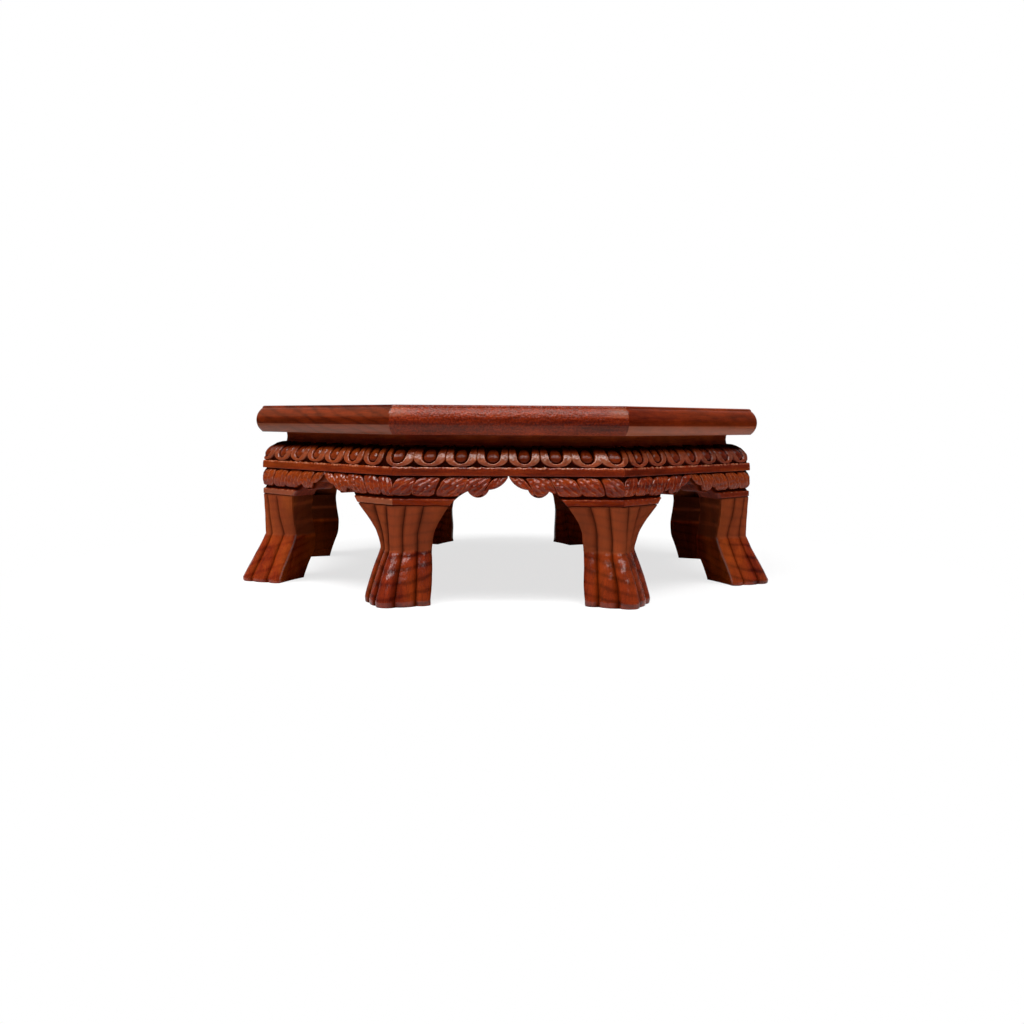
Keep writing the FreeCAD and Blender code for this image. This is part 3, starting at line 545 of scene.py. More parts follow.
def ring_height(along, up):
    """Height of the ring carving from 0 at its ground to 1, and its painted highlights and sheen.

    Both are at a place along the edge of the table and up the curve of the moulding.
    """
    rng = np.random.default_rng(RING_SEED)
    count = len(RINGS)
    tilt = rng.uniform(-RING_TILT, RING_TILT, count)
    lift = rng.uniform(-RING_LIFT, RING_LIFT, count)
    size, eye_size, bead_size = (rng.uniform(1 - k, 1 + k, count) for k in SIZE_SPREADS)
    gaps = (along[..., None] - RINGS + EDGE_LENGTH / 2) % EDGE_LENGTH - EDGE_LENGTH / 2
    ring = np.abs(gaps).argmin(axis=-1)
    aside = np.take_along_axis(gaps, ring[..., None], axis=-1)[..., 0]
    rise = up - RING_RISE - lift[ring]
    below = rise < 0

    across = (np.abs(aside) / (RING_HALF * size[ring])) ** RING_POWER
    across += (np.abs(rise) / np.where(below, RING_BELOW, RING_ABOVE)) ** RING_POWER
    across = across ** (1 / RING_POWER)
    eye_half = (EYE_HALF + EYE_GROWTH * np.maximum(rise, 0)) * eye_size[ring]
    eye = np.hypot(aside / eye_half, np.where(below, rise / EYE_BELOW, 0))
    inside, outside = (1 - across) * RIM_LENGTH, (eye - 1) * EYE_LENGTH
    band = smooth(inside / RIM_EASE) * smooth((outside + EYE_LEAD) / EYE_EASE)
    lip = LIP_RISE * bell(outside, 0.75, 0.45)
    cushion = CUSHION_RISE * smooth(outside / 2.5) * smooth(inside / 3)
    ground = GROUND_RISE + GROUND_ROUGH * waves(RING_SEED + 1, ROUGH_LENGTH, along, up)
    rough = BAND_ROUGH * waves(RING_SEED + 2, ROUGH_LENGTH, along, up)
    height = np.maximum(ground, band * (BAND_RISE + cushion + lip + rough))

    wide, high = BEAD_HALF * bead_size[ring], np.where(below, BEAD_BELOW, BEAD_ABOVE)
    bead = np.hypot((aside - tilt[ring]) / wide, rise / high)
    dome = BEAD_FOOT + BEAD_RISE * np.sqrt(np.clip(1 - bead ** 2, 0, 1))
    height = np.where(bead < 1, np.maximum(height, dome), height)

    # Painted highlights along the lower rim of each eye and along the outer rim, and a painted
    # sheen over the middle
    rims = bell(outside, 0.6, 0.4) * below + OUTER_RIM * bell(inside, 1.0, 0.5)
    rims = rims * patchy(0.5, 0.5, RING_SEED + 3, 7, along, up)
    sheen = SHEEN * bell(rise, -1, SHEEN_HEIGHT) * patchy(0.8, 0.3, RING_SEED + 4, 6, along, up)
    rubbed = np.clip(band * (rims + sheen), 0, 1)
    return height, np.where(bead < 1, BEAD_HIGHLIGHT, rubbed)


RING_COLUMNS, ARC_ROWS, FILLET_ROWS = 440, 58, 10
# How much amber, painted light and varnish the ring rails beside the front and the others have
RING_LOOKS, OTHER_RING_LOOKS = {7: (0.8, 0.4, 0.5), 1: (0.5, 0.4, 0.5)}, (0.15, 0.9, 0.8)
# The fillet: its lower and upper corners, its knife waves, how much darker its face is painted,
# and the painted highlight along its upper brink
FILLET_EASE, FILLET_ROUND, OVOLO_EASE, OVOLO_ROUND = 0.6, 0.17, 1.1, 0.275
FILLET_SWING, FILLET_INSET, BRINK_SWING, BRINK_LIFT = 0.10, 0.12, 0.35, 0.5
FILLET_SHADE, BRINK_HIGHLIGHT, BRINK_HEIGHT, BRINK_EASE = 0.22, 0.8, 2.0, 0.9
# The painted shadow under the neck, and the height of the carving below which its ground is
# painted in shade
NECK_SHADE, NECK_SHADE_REACH, NECK_SHADE_EASE, GROUND_TOP, GROUND_EASE = 0.95, 7.0, 4.5, 0.7, 0.6


def make_ring_rail(index):
    """A plain fillet under a quarter-round, carved with rings and a bead in each."""
    seed = RING_SEED + index * RING_SEED_STEP
    centre = OVOLO_FOOT - OVOLO_RADIUS
    fillet = outline([
        (RING_IN, FILLET, 0, 3),
        (FILLET_OUT - FILLET_EASE, FILLET, FILLET_ROUND, 4),
        (FILLET_OUT, FILLET + FILLET_EASE, 0, FILLET_ROWS),
        (FILLET_OUT, OVOLO - OVOLO_EASE, OVOLO_ROUND, 5),
        (FILLET_OUT - OVOLO_EASE, OVOLO, 0, 1),
        (RING_IN, OVOLO, 0, 1),
    ])[:-1]
    shares = np.linspace(-1, 1, RING_COLUMNS)[:, None]

    fillet_out, fillet_z = np.repeat(fillet.T[:, None], RING_COLUMNS, 1)
    fillet_x = shares * fillet_out * TAN
    outer = smooth((fillet_out - FILLET_OUT + 3) / 3)
    upper = smooth((fillet_z - FILLET - 4) / 4) * outer
    swing = FILLET_SWING * waves(seed + 2, 15, fillet_x, fillet_z) - FILLET_INSET
    fillet_out = fillet_out + outer * swing
    fillet_out = fillet_out - upper * BRINK_SWING * (1 + waves(seed + 5, 5, fillet_x))
    fillet_z = fillet_z + upper * BRINK_LIFT * waves(seed + 3, 11, fillet_x)

    angles = np.linspace(0, math.pi / 2, ARC_ROWS)
    up = np.repeat((angles * OVOLO_RADIUS)[None], RING_COLUMNS, 0)
    along = np.repeat(index * RING_SIDE + shares * RING_SIDE / 2, ARC_ROWS, 1)
    height, rubbed = ring_height(along, up)
    radius = OVOLO_RADIUS - RING_RELIEF * (1 - height)
    arc_out = centre + radius * np.cos(angles)[None]
    arc_z = np.minimum(OVOLO + radius * np.sin(angles)[None], NECK)

    back_out = np.repeat([[centre - 1, RING_IN]], RING_COLUMNS, 0)
    back_z = np.full((RING_COLUMNS, 2), NECK)
    out = np.concatenate([fillet_out, arc_out, back_out], axis=1)
    z = np.concatenate([fillet_z, arc_z, back_z], axis=1)
    x = shares * out * TAN

    hollow = np.zeros_like(out)
    first = fillet_out.shape[1]
    amber, wear_and_light, coat = RING_LOOKS.get(index, OTHER_RING_LOOKS)
    # Painted shadow under the neck and painted shade in the carving's ground, less the painted
    # light
    shaded = NECK_SHADE * smooth((arc_z - NECK + NECK_SHADE_REACH) / NECK_SHADE_EASE)
    carved = smooth((GROUND_TOP - height) / GROUND_EASE)
    lightening = wear_and_light * rubbed * (1 - carved) * (1 - shaded)
    hollow[:, first:first + ARC_ROWS] = np.maximum(carved, shaded) - lightening
    # A painted highlight along the fillet's upper brink, and a darker painted face below it
    highlight_amount = 0.4 + 0.5 * waves(seed + 9, 24, fillet_x) + 0.3 * waves(seed + 10, 6, fillet_x)
    brink = smooth((fillet_z - OVOLO + BRINK_HEIGHT) / BRINK_EASE)
    lightening = BRINK_HIGHLIGHT * brink * np.clip(highlight_amount, 0, 1)
    hollow[:, :first] = outer * (FILLET_SHADE * (1 - brink) - lightening)

    looks = Looks(tone=0.48, amber=amber, peel=0.2, cut=0.3, hollow=0.95, coat=coat)
    material = wood(f"ring_wood_{index}", index * TURN, RING_WOOD_SEED + index, looks)
    node = f"ring_rail_{index + 1}"
    write_rail(node, index, x, out, z, material, "carved_wood", hollow)


# Brackets. The arch between two legs is given by reaches from the middle of the side and heights

EAR_REACH, NOTCH_REACH, CUSP_REACH, APEX_REACH = 54.7, 37.7, 18.1, 0.6
NOTCH_Z, CUSP_Z, APEX_DROP = FILLET - 14.2, FILLET - 12.8, 0.6
EAR_HOLLOW, LOBE_DEPTH, CUSP_SWELL = 1.3, 6.6, 3.2


def curve_height(reach, start, end, swell):
    """Height, at a reach from the middle, of an arc between two (reach, height) points.

    The arc sags if the swell is positive.
    """
    half = math.hypot(end[0] - start[0], end[1] - start[1]) / 2
    radius = (half * half + swell * swell) / (2 * abs(swell))
    middle = np.add(start, end) / 2
    chord = np.subtract(end, start) / (2 * half)
    up = np.array([-chord[1], chord[0]]) * (1 if chord[0] > 0 else -1)
    centre = middle + up * (radius - abs(swell)) * (1 if swell > 0 else -1)
    depth = np.sqrt(np.clip(radius ** 2 - (reach - centre[0]) ** 2, 0, None))
    return centre[1] - depth if swell > 0 else centre[1] + depth


def arch_height(reach):
    """Height of the arch's edge at a reach from the middle of the side."""
    ear = curve_height(reach, (EAR_REACH, NECKING), (NOTCH_REACH, NOTCH_Z), -EAR_HOLLOW)
    lobe = curve_height(reach, (NOTCH_REACH, NOTCH_Z), (CUSP_REACH, CUSP_Z), LOBE_DEPTH)
    cusp = curve_height(reach, (CUSP_REACH, CUSP_Z), (0, FILLET), CUSP_SWELL)
    parts = [reach > EAR_REACH, reach > NOTCH_REACH, reach > CUSP_REACH]
    height = np.select(parts, [np.full_like(reach, NECKING), ear, lobe], cusp)
    return np.minimum(height, FILLET - APEX_DROP)


# The leaves from the corner to the middle of a side: middle from the corner, half width and slant
LEAVES = (
    (11.0, 9.8, 0.34), (31.7, 11.4, 0.42), (55.0, 12.2, 0.55), (77.4, 11.4, 0.60),
    (97.6, 9.4, 0.80),
)
LEAF_RELIEF, LEAF_OUT, LEAF_BELLY, LEAF_TOP_GAP = 3.0, FILLET_OUT + 1.2, 2.2, 0.7
# How much a leaf's slant, place and foot differ at random
SLANT_PLAY, PLACE_PLAY, FOOT_DROP, FOOT_LIFT = 0.04, 0.4, 0.4, 0.3
LEAF_BOW, BOW_PLAY, SIDE_POWER, END_POWER = 0.12, (0.5, 1.5), 3.8, 5.5
# Slant, pitch and rise of the veins, on the slanting sides and on the others
ODD_VEINS, EVEN_VEINS = (0.35, 6.2, 0.36), (1.30, 8.0, 0.26)
VEIN_WANDER, VEIN_LENGTH, CUT_SWELL, CUT_LENGTH = 0.10, 9, 0.13, 6
CUSHION_LEVEL, RIM_LIFT, RIM_FADE = 0.62, 0.24, 0.6
# How strong the painted highlights on a leaf's rim and its vein tops are, how high a vein top lies
# and how near the leaf's heart
RIM_HIGHLIGHT, VEIN_HIGHLIGHT, VEIN_TOP, LEAF_HEART = 0.9, 0.5, 0.88, 0.3


def leaf_height(seed, reach, z, low, veins):
    """Height of the leaf carving, from 0 in the grooves to 1, and the painted highlight on its rims
    and vein tops.
    """
    rng = np.random.default_rng(seed)
    vein_slant, pitch, vein_rise = veins
    middle = (LEAF + FILLET) / 2
    height, rubbed = np.zeros_like(reach), np.zeros_like(reach)
    for index, (centre, half, slant) in enumerate(LEAVES):
        slant = slant + rng.uniform(-SLANT_PLAY, SLANT_PLAY)
        aside = SIDE_HALF - reach - centre + rng.uniform(-PLACE_PLAY, PLACE_PLAY)
        foot = np.maximum(low, LEAF + rng.uniform(-FOOT_DROP, FOOT_LIFT))
        up = 2 * np.clip((z - foot) / (FILLET - LEAF_TOP_GAP - foot), 0, 1) - 1
        bow = LEAF_BOW * (1 - up ** 2) * rng.uniform(*BOW_PLAY)
        across = (aside - slant * (z - middle)) / half + bow
        edge = np.abs(across) ** SIDE_POWER + np.abs(up) ** END_POWER
        dome = np.clip(1 - edge, 0, 1) ** 0.5
        phase = rng.uniform(0, 1)
        phase = phase + VEIN_WANDER * waves(seed + index, VEIN_LENGTH, reach, z)
        turns = (aside - vein_slant * (z - middle)) / pitch + phase
        vein = 0.5 + 0.5 * np.cos(2 * math.pi * turns)
        rough = CUT_SWELL * waves(seed + index + 20, CUT_LENGTH, reach, z)
        rim = bell(edge, 0.62, 0.16)
        cushion = CUSHION_LEVEL + vein_rise * vein * (1 - RIM_FADE * rim) + rough + RIM_LIFT * rim
        height = np.maximum(height, dome * cushion)
        highlight_amount = RIM_HIGHLIGHT * bell(edge, 0.70, 0.12) + VEIN_HIGHLIGHT * (vein > VEIN_TOP) * (edge < LEAF_HEART)
        highlight_amount = highlight_amount * patchy(0.5, 0.6, seed + index + 40, 8, reach, z)
        rubbed = np.maximum(rubbed, highlight_amount)
    return height, rubbed


BRACKET_COLUMNS, FRONT_ROWS, UNDER_ROWS = 232, 74, 7
RIGHT_SEED = 3
LOBE_LEVEL, LOBE_INSET, LOBE_EASE = 0.75, 12, 3
NECKING_DEEP, NECKING_RISE, BAND_WANDER, EDGE_EASE, EDGE_DRAW = 3.2, 2.2, 0.35, 1.0, 0.9
# The swing of the front, where the leaves' painted shade starts and how fast, and the painted shade
# on the back and underside
BRACKET_SWING, LEAF_SHADE_FROM, LEAF_SHADE_EASE, HIDDEN_FACE_SHADE = 0.12, 0.55, 0.5, 0.4
# How strong the painted highlights on the leaves and on the necking's crest are, and where the
# crest lies
LEAF_HIGHLIGHT, CREST_HIGHLIGHT, CREST_DROP, CREST_WIDTH = 0.5, 0.8, 0.9, 0.6
MITRE_REACH = 58
# How much painted shade, or painted light where below 0, the necking has on the sides in the
# photograph
NECKING_SHADE, SHADED_BELOW = {0: 0.30, 1: 0.05, 7: -0.30}, 0.1
BRACKET_AMBER = (0.05, 0.3)


def make_bracket(index, side):
    """A carved board from the mitre over a leg to the cusp at the middle of a side."""
    seed = BRACKET_SEED + index * BRACKET_SEED_STEP + (RIGHT_SEED if side > 0 else 0)
    reach = SIDE_HALF - (SIDE_HALF - APEX_REACH) * np.linspace(0, 1, BRACKET_COLUMNS)
    edge_z = arch_height(reach)
    low = edge_z[:, None]
    z = low + (FILLET - low) * np.linspace(0, 1, FRONT_ROWS)[None]
    far = np.repeat(reach[:, None], FRONT_ROWS, 1)

    leaf, rubbed = leaf_height(seed, far, z, low, ODD_VEINS if index % 2 else EVEN_VEINS)
    over_arch = smooth((EAR_REACH - LOBE_INSET - far) / LOBE_EASE)
    leaf = np.maximum(leaf, LOBE_LEVEL * over_arch * smooth((LEAF + 1 - z) / 2))
    middle, half = (LEAF + FILLET) / 2, (FILLET - LEAF) / 2
    belly = LEAF_BELLY * np.clip(1 - ((z - middle) / half) ** 2, 0, 1)
    leaf_out = LEAF_OUT - LEAF_RELIEF - LEAF_BELLY + belly + LEAF_RELIEF * leaf
    wander = BAND_WANDER * waves(seed + 5, 12, far)
    band = smooth((z - NECKING - 0.1) / 0.5) * smooth((GROOVE + 0.1 - z + 0.5 * wander) / 1.3)
    necking_out = FILLET_OUT - NECKING_DEEP + NECKING_RISE * band
    in_leaf = smooth((z - (LEAF - 0.9) - 0.3 * wander) / 0.7)
    in_leaf = np.maximum(in_leaf, over_arch * smooth((z - low + 1) / 0.5))
    out = necking_out * (1 - in_leaf) + leaf_out * in_leaf
    out += BRACKET_SWING * waves(seed + 6, 6, far, z)
    out -= EDGE_DRAW * np.clip(1 - (z - low) / EDGE_EASE, 0, 1) ** 2

    # Painted shade in the grooves of the leaves and of the necking, less painted highlights on the
    # leaves and the crest
    hollow = in_leaf * smooth((LEAF_SHADE_FROM - leaf) / LEAF_SHADE_EASE)
    hollow += (1 - in_leaf) * (1 - band)
    crest = bell(z, GROOVE - CREST_DROP, CREST_WIDTH) * patchy(0, 1, seed + 8, 10, far)
    lightening = LEAF_HIGHLIGHT * rubbed * in_leaf + CREST_HIGHLIGHT * crest * (1 - in_leaf)
    hollow = hollow - lightening * (1 - hollow)
    hollow += NECKING_SHADE.get(index, 0) * (1 - in_leaf) * (hollow < SHADED_BELOW)

    back_out = np.full((BRACKET_COLUMNS, 2), BRACKET_IN)
    back_z = np.stack([np.full(BRACKET_COLUMNS, FILLET), edge_z], axis=1)
    inner = np.linspace(1, 0, UNDER_ROWS)[None, 1:-1]
    under_out = BRACKET_IN + (out[:, :1] - BRACKET_IN) * (1 - inner)
    under_z = np.repeat(low, inner.shape[1], 1)
    out = np.concatenate([out, back_out, under_out], axis=1)
    z = np.concatenate([z, back_z, under_z], axis=1)
    # Painted shade on the back and the underside
    rest = np.full((BRACKET_COLUMNS, 2 + inner.shape[1]), HIDDEN_FACE_SHADE)
    hollow = np.concatenate([hollow, rest], axis=1)
    squeeze = smooth((reach[:, None] - MITRE_REACH) / (SIDE_HALF - MITRE_REACH))
    x = reach[:, None] * (1 + squeeze * (out / NECKING_OUT - 1))

    amber = BRACKET_AMBER[index % 2]
    looks = Looks(tone=0.38, amber=amber, peel=0.1, cut=0.2, hollow=0.9, coat=0.42)
    material = wood(f"bracket_wood_{index}_{side}", index * TURN, seed, looks)
    node = f"bracket_{'left' if side < 0 else 'right'}_{index + 1}"
    write_rail(node, index, side * x, out, z, material, "carved_wood", hollow)


# Legs, in a frame whose first axis runs outwards through the leg's corner

ANKLE, EAR_START, TOE_HEIGHT = 48.5, 51.5, 3.0
TOE_NOSE, TOE_NOSE_MORE, ANKLE_NOSE, TOP_NOSE, NOSE_SHARE = 301.4, 2.2, 277.4, 279.6, 0.85
TOE_FACE, POST_FACE, FOOT_WIDER = 47.2, 38, 2.2
TOP_FACE = FILLET_OUT * TAN - EAR_REACH - 1
# The two legs beside the front have rounder feet, which bulge and curve in at the sole
PAWS, PAW_HEIGHT, PAW_BELLY, PAW_NOSE_DRAW, PAW_FACE_DRAW = (5, 6), 6.0, 1.7, 1.0, 1.4
TOE_NOSE_DRAW, TOE_FACE_DRAW = 1.0, 0.8
# Sizes by height: places, the sizes there, and how far the corners between are rounded
LEG_LEVELS = (0, ANKLE, EAR_START, NECKING)
EAR_LEVELS = EAR_START + (NECKING - EAR_START) * np.array([0, 0.35, 0.6, 0.8, 1])
EAR_FACES = POST_FACE + (TOP_FACE - POST_FACE) * np.array([0, 0.06, 0.31, 0.64, 1])
EAR_ANGLES = TURN - HALF * np.array([0, 0.3, 0.6, 0.82, 1])
NOSES = LEG_LEVELS, (TOE_NOSE + TOE_NOSE_MORE, ANKLE_NOSE, ANKLE_NOSE, TOP_NOSE), 4
NOSE_DEPTHS = LEG_LEVELS, (0.30, 0.26, 0.26, 0.20), 5
ANGLES = (0, *EAR_LEVELS), (TURN, *EAR_ANGLES), 3
FACES = (0, ANKLE, *EAR_LEVELS), (TOE_FACE, POST_FACE, *EAR_FACES), 3
REED_SWELLS = (0, 30, ANKLE, EAR_START, NECKING - 6, NECKING), (2.8, 2.4, 2.2, 2.2, 1.8, 1.2), 3
BACKS = (0, 17, 30, 46, 60, 74, 84, NECKING), (237, 231, 225, 224, 227, 229, 227, 227), 6
# Bells of (height, middle, width): ripples of the nose at the ankle, and ridges of the inner faces
ANKLE_LIPS = ((0.3, ANKLE - 2.4, 2.2), (-0.3, ANKLE + 1, 0.9))
INNER_RIDGES = ((0.8, 60, 2.6), (0.6, 43, 2.6))
# Shares of a face at which its reeds part, on the sides square to an axis and the slanting ones
BROAD = ((0.30, 0.26, 0.26, 0.25), (0.72, 0.64, 0.64, 0.58))
NARROW = ((0.30, 0.26, 0.26, 0.15), (0.72, 0.64, 0.64, 0.48))
REED_SWING, REED_SWING_LENGTH, BACK_BEND, TOP_DRAW, TOP_DRAW_HEIGHT = 0.35, 45, 1.2, 0.8, 0.9
# Points along each stretch of a leg's outline: an inner face, two reeds, the nose, two reeds and
# an inner face
INNER_POINTS, REED_POINTS, NOSE_POINTS = 20, 24, 34
GROOVES = np.cumsum([INNER_POINTS, REED_POINTS, REED_POINTS, NOSE_POINTS, REED_POINTS, REED_POINTS])


def rounded(z, places, sizes, span):
    """Reads a size off a broken line of (height, size), with its corners rounded."""
    offsets = np.linspace(-1, 1, 9) * span
    weights = 1 - np.abs(offsets / span) * 0.8
    total = sum(w * np.interp(z + o, places, sizes) for w, o in zip(weights, offsets))
    return float(total / weights.sum())


def leg_loop(z, index):
    """The outline of a leg at one height, as (out, aside) points from its back corner round."""
    seed = LEG_SEED + index * LEG_SEED_STEP
    paw = int(index in PAWS)
    foot = max(0, 1 - z / ANKLE)
    toe = 1 - math.sqrt(max(0, 1 - max(0, 1 - z / (TOE_HEIGHT + PAW_HEIGHT * paw)) ** 2))
    belly = PAW_BELLY * paw * math.sin(math.pi * min(1, z / ANKLE))

    nose = min(rounded(z, *NOSES) + belly, TOE_NOSE)
    nose += bells(z, ANKLE_LIPS) - (TOE_NOSE_DRAW + PAW_NOSE_DRAW * paw) * toe
    nose -= TOP_DRAW * smooth((z - NECKING + TOP_DRAW_HEIGHT) / TOP_DRAW_HEIGHT)
    angle = rounded(z, *ANGLES)
    face = rounded(z, *FACES) + belly
    face -= (TOE_FACE_DRAW + PAW_FACE_DRAW * paw) * toe
    swell = rounded(z, *REED_SWELLS)
    back = rounded(z, *BACKS)
    depth = face * rounded(z, *NOSE_DEPTHS) * math.sin(angle)
    tip = nose + depth * (1 - NOSE_SHARE)

    reeds = {}
    for side in (-1, 1):
        facing = (index % 2 == 0) == (side < 0)
        shares = [rounded(z, LEG_LEVELS, sizes, 5) for sizes in (BROAD if facing else NARROW)]
        for number, share in enumerate((*shares, 1)):
            swing = REED_SWING * float(waves(seed + side * 3 + number, REED_SWING_LENGTH, z))
            along = (face + FOOT_WIDER * foot * facing) * share + swing
            reeds[side, number] = (tip - along * math.sin(angle), side * along * math.cos(angle))
    bend = BACK_BEND * foot
    loop = outline([
        (back, 0, -bend, INNER_POINTS),
        (*reeds[-1, 2], swell, REED_POINTS),
        (*reeds[-1, 1], swell, REED_POINTS),
        (*reeds[-1, 0], depth * NOSE_SHARE, NOSE_POINTS),
        (*reeds[1, 0], swell, REED_POINTS),
        (*reeds[1, 1], swell, REED_POINTS),
        (*reeds[1, 2], -bend, INNER_POINTS),
    ])
    bulge = bells(z, INNER_RIDGES) * np.sin(np.linspace(0, math.pi, INNER_POINTS))
    loop[:INNER_POINTS, 1] -= bulge
    loop[-INNER_POINTS:, 1] += bulge
    return loop


STUB_HALF, STUB_BACK, STUB_POINTS = 30, 210, (20, 36, 29, 29, 36)


def stub_loop(count):
    """The leg's stub behind the brackets, with as many points as its other loops."""
    nose = BRACKET_IN / COS
    wing = nose - STUB_HALF * TAN
    corners = [
        (STUB_BACK, 0), (STUB_BACK, -STUB_HALF), (wing, -STUB_HALF), (nose, 0), (wing, STUB_HALF),
        (STUB_BACK, STUB_HALF),
    ]
    shares = (*STUB_POINTS, count - sum(STUB_POINTS))
    return outline([(out, aside, 0, share) for (out, aside), share in zip(corners, shares)])


# The legs as in the photograph: their wood, how much lighter the reeds are painted, as painted
# light, and the painted shade, or painted light where below 0, on the inner faces
LegLooks = namedtuple("LegLooks", "tone amber rubbed inner_shade")
LEG_LOOKS = [LegLooks(*row) for row in (
    (0.46, 0.4, 0, 0.8), (0.46, 0.4, 0, -0.8), (0.46, 0.4, 0, -0.8), (0.46, 0.4, 0, 0.8),
    (0.58, 0.6, 0.2, 0.5), (0.10, 0.15, 0, 0.5), (0.06, 0.15, 0, 0.5), (0.38, 0.3, 0, 0.5),
)]
# The painted shade in the grooves between the reeds, as bells by the distance from their middle
GROOVE_SHADES = ((0.42, 0, 6.0), (0.32, 0, 1.8))
TOE_ROWS, FOOT_ROWS, POST_ROWS, FOOT_MARGIN, STUB_GAP = 12, 60, 40, 6, 0.01
LEG_ROUGH, LEG_ROUGH_LENGTH = 0.16, 9
# Painted highlight lines across the inner faces, by height
HIGHLIGHT_LINES, HIGHLIGHT_LINE, HIGHLIGHT_LINE_WIDTH = (46, 62, 82), 0.9, 1.7


def make_leg(index):
    """A reeded post with a corner outwards, eared at the top, with paw-like toes."""
    seed = LEG_SEED + index * LEG_SEED_STEP
    heights = np.unique(np.concatenate([
        np.linspace(0, TOE_HEIGHT, TOE_ROWS),
        np.linspace(TOE_HEIGHT, ANKLE + FOOT_MARGIN, FOOT_ROWS),
        np.linspace(ANKLE + FOOT_MARGIN, NECKING, POST_ROWS),
    ]))
    loops = [leg_loop(z, index) for z in heights]
    count = len(loops[0])
    loops += [stub_loop(count)] * 2
    heights = np.concatenate([heights, [NECKING + STUB_GAP, FILLET]])
    flat = np.stack(loops)
    out, aside = flat[..., 0], flat[..., 1]
    z = np.repeat(heights[:, None], count, 1)
    rough = LEG_ROUGH * waves(seed + 1, LEG_ROUGH_LENGTH, out, aside * 1.3, z * 0.5)
    rough[-2:] = 0
    out = out + rough * smooth((out - 240) / 10)
    turn = HALF + index * TURN
    cosine, sine = math.cos(turn), math.sin(turn)
    points = np.stack([out * cosine - aside * sine, out * sine + aside * cosine, z], axis=-1)

    own = LEG_LOOKS[index]
    hollow, inner = leg_shading(count, heights, own)
    looks = Looks(own.tone, own.amber, flame=0.4, peel=0.15, cut=0.2, hollow=0.85, coat=0.6)
    material = wood(f"leg_wood_{index}", turn, seed, looks, upright=True, feet=True)
    write_piece(f"leg_{index + 1}", points, material, "leg_wood", hollow, inner)


def leg_shading(count, heights, own):
    """Painted shade in the grooves between the reeds, on the inner faces and under a leg's top.

    Each reed is painted lighter on one side, with a painted highlight along that edge, and darker
    towards the other. The inner faces may be painted lighter instead, and carry painted highlight
    lines. The inner faces come back as well, as they carry no varnish.
    """
    place = np.arange(count)
    gaps = place[None] - GROOVES[1:5, None]
    nearest = np.min(np.abs(gaps), axis=0)
    # Painted shade in the grooves, and each reed painted lighter on one side and darker towards the
    # other
    groove = bells(nearest, GROOVE_SHADES)
    inner = (place < GROOVES[0] - 1) | (place > GROOVES[5] + 1)
    for start, end in zip(GROOVES[:-1], GROOVES[1:]):
        share = (place - start) / (end - start)
        groove = groove + (0.80 * share ** 2 - 0.32) * (share >= 0) * (share < 1)
    shade = np.where(inner, own.inner_shade, groove - own.rubbed)
    hollow = np.repeat(shade[None], len(heights), 0)
    # Painted highlight lines across the inner faces
    for mark in HIGHLIGHT_LINES:
        hollow -= HIGHLIGHT_LINE * bell(heights, mark, HIGHLIGHT_LINE_WIDTH)[:, None] * inner
    # A painted highlight along one edge of each reed, stronger on the foot
    edge = np.max(bell(gaps, 4, 1.4), axis=0) * ~inner
    foot = smooth((ANKLE + 2 - heights) / 5)[:, None]
    uneven = 0.6 + 0.4 * waves(LEG_SEED + 20, 14, heights)[:, None]
    hollow -= edge[None] * (0.5 + 0.4 * foot) * uneven
    # Painted shade under the top
    under = 0.8 * bell(heights, NECKING, 1.2)[:, None]
    return np.clip(np.maximum(hollow, under), -1, 1), np.repeat(inner[None], len(heights), 0)


# Pieces that keep their CAD meshes

PANEL_BOARDS = 4
INNER_PIECES = ("batten_1", "batten_2", "dowels", "mitre_splines")
SCREWS = ("frame_screws", "batten_screws")
BARE_GRAIN, TURNED_GRAIN = (60, 60, 60), (90, 9, 90)


def dress_inner_nodes():
    """Gives materials to the panel boards and to what lies inside."""
    looks = Looks(amber=0.4, flame=0.2)
    for number in range(1, PANEL_BOARDS + 1):
        name = f"panel_board_{number}"
        set_material(name, wood(f"{name}_wood", 0, PANEL_WOOD_SEED + number, looks))
    for number, name in enumerate(INNER_PIECES):
        grain = TURNED_GRAIN if name.startswith("batten") else BARE_GRAIN
        set_material(name, plain_wood(f"{name}_wood", INNER_WOOD_SEED + number, grain))
    for name in SCREWS:
        set_material(name, steel(name))


def set_material(name, material):
    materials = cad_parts[name].data.materials
    materials.clear()
    materials.append(material)


def plain_wood(name, seed, scale):
    """Bare pale hardwood for the pieces inside."""
    material, tree, shader = node_tree(name)
    place = add(tree, "TexCoord").outputs["Object"]
    stretch = {"Vector": place, "Scale": scale, "Location": (seed, 0, 0)}
    grain = add(tree, "Mapping", stretch).outputs["Vector"]
    streak = noise(tree, grain, scale=3, detail=5, roughness=0.65)
    stain = [(0.3, (0.16, 0.075, 0.03)), (0.7, (0.34, 0.19, 0.09))]
    feed(tree, shader.inputs["Base Color"], colour_ramp(tree, streak, stain))
    bumps(tree, shader, [(streak, 0.3, 0.0005)])
    shader.inputs["Roughness"].default_value = 0.7
    return material


def steel(name):
    """Zinc-plated screw steel with fine wear."""
    material, tree, shader = node_tree(name)
    place = add(tree, "TexCoord").outputs["Object"]
    wear_and_light = noise(tree, place, scale=900, detail=3, roughness=0.5)
    zinc = [(0.3, (0.42, 0.41, 0.38)), (0.7, (0.60, 0.59, 0.56))]
    feed(tree, shader.inputs["Roughness"], level_ramp(tree, wear_and_light, [(0.3, 0.25), (0.7, 0.5)]))
    feed(tree, shader.inputs["Base Color"], colour_ramp(tree, wear_and_light, zinc))
    shader.inputs["Metallic"].default_value = 1
    return material


# Camera, floor and light, in metres, with the camera fitted to the photograph's pixels

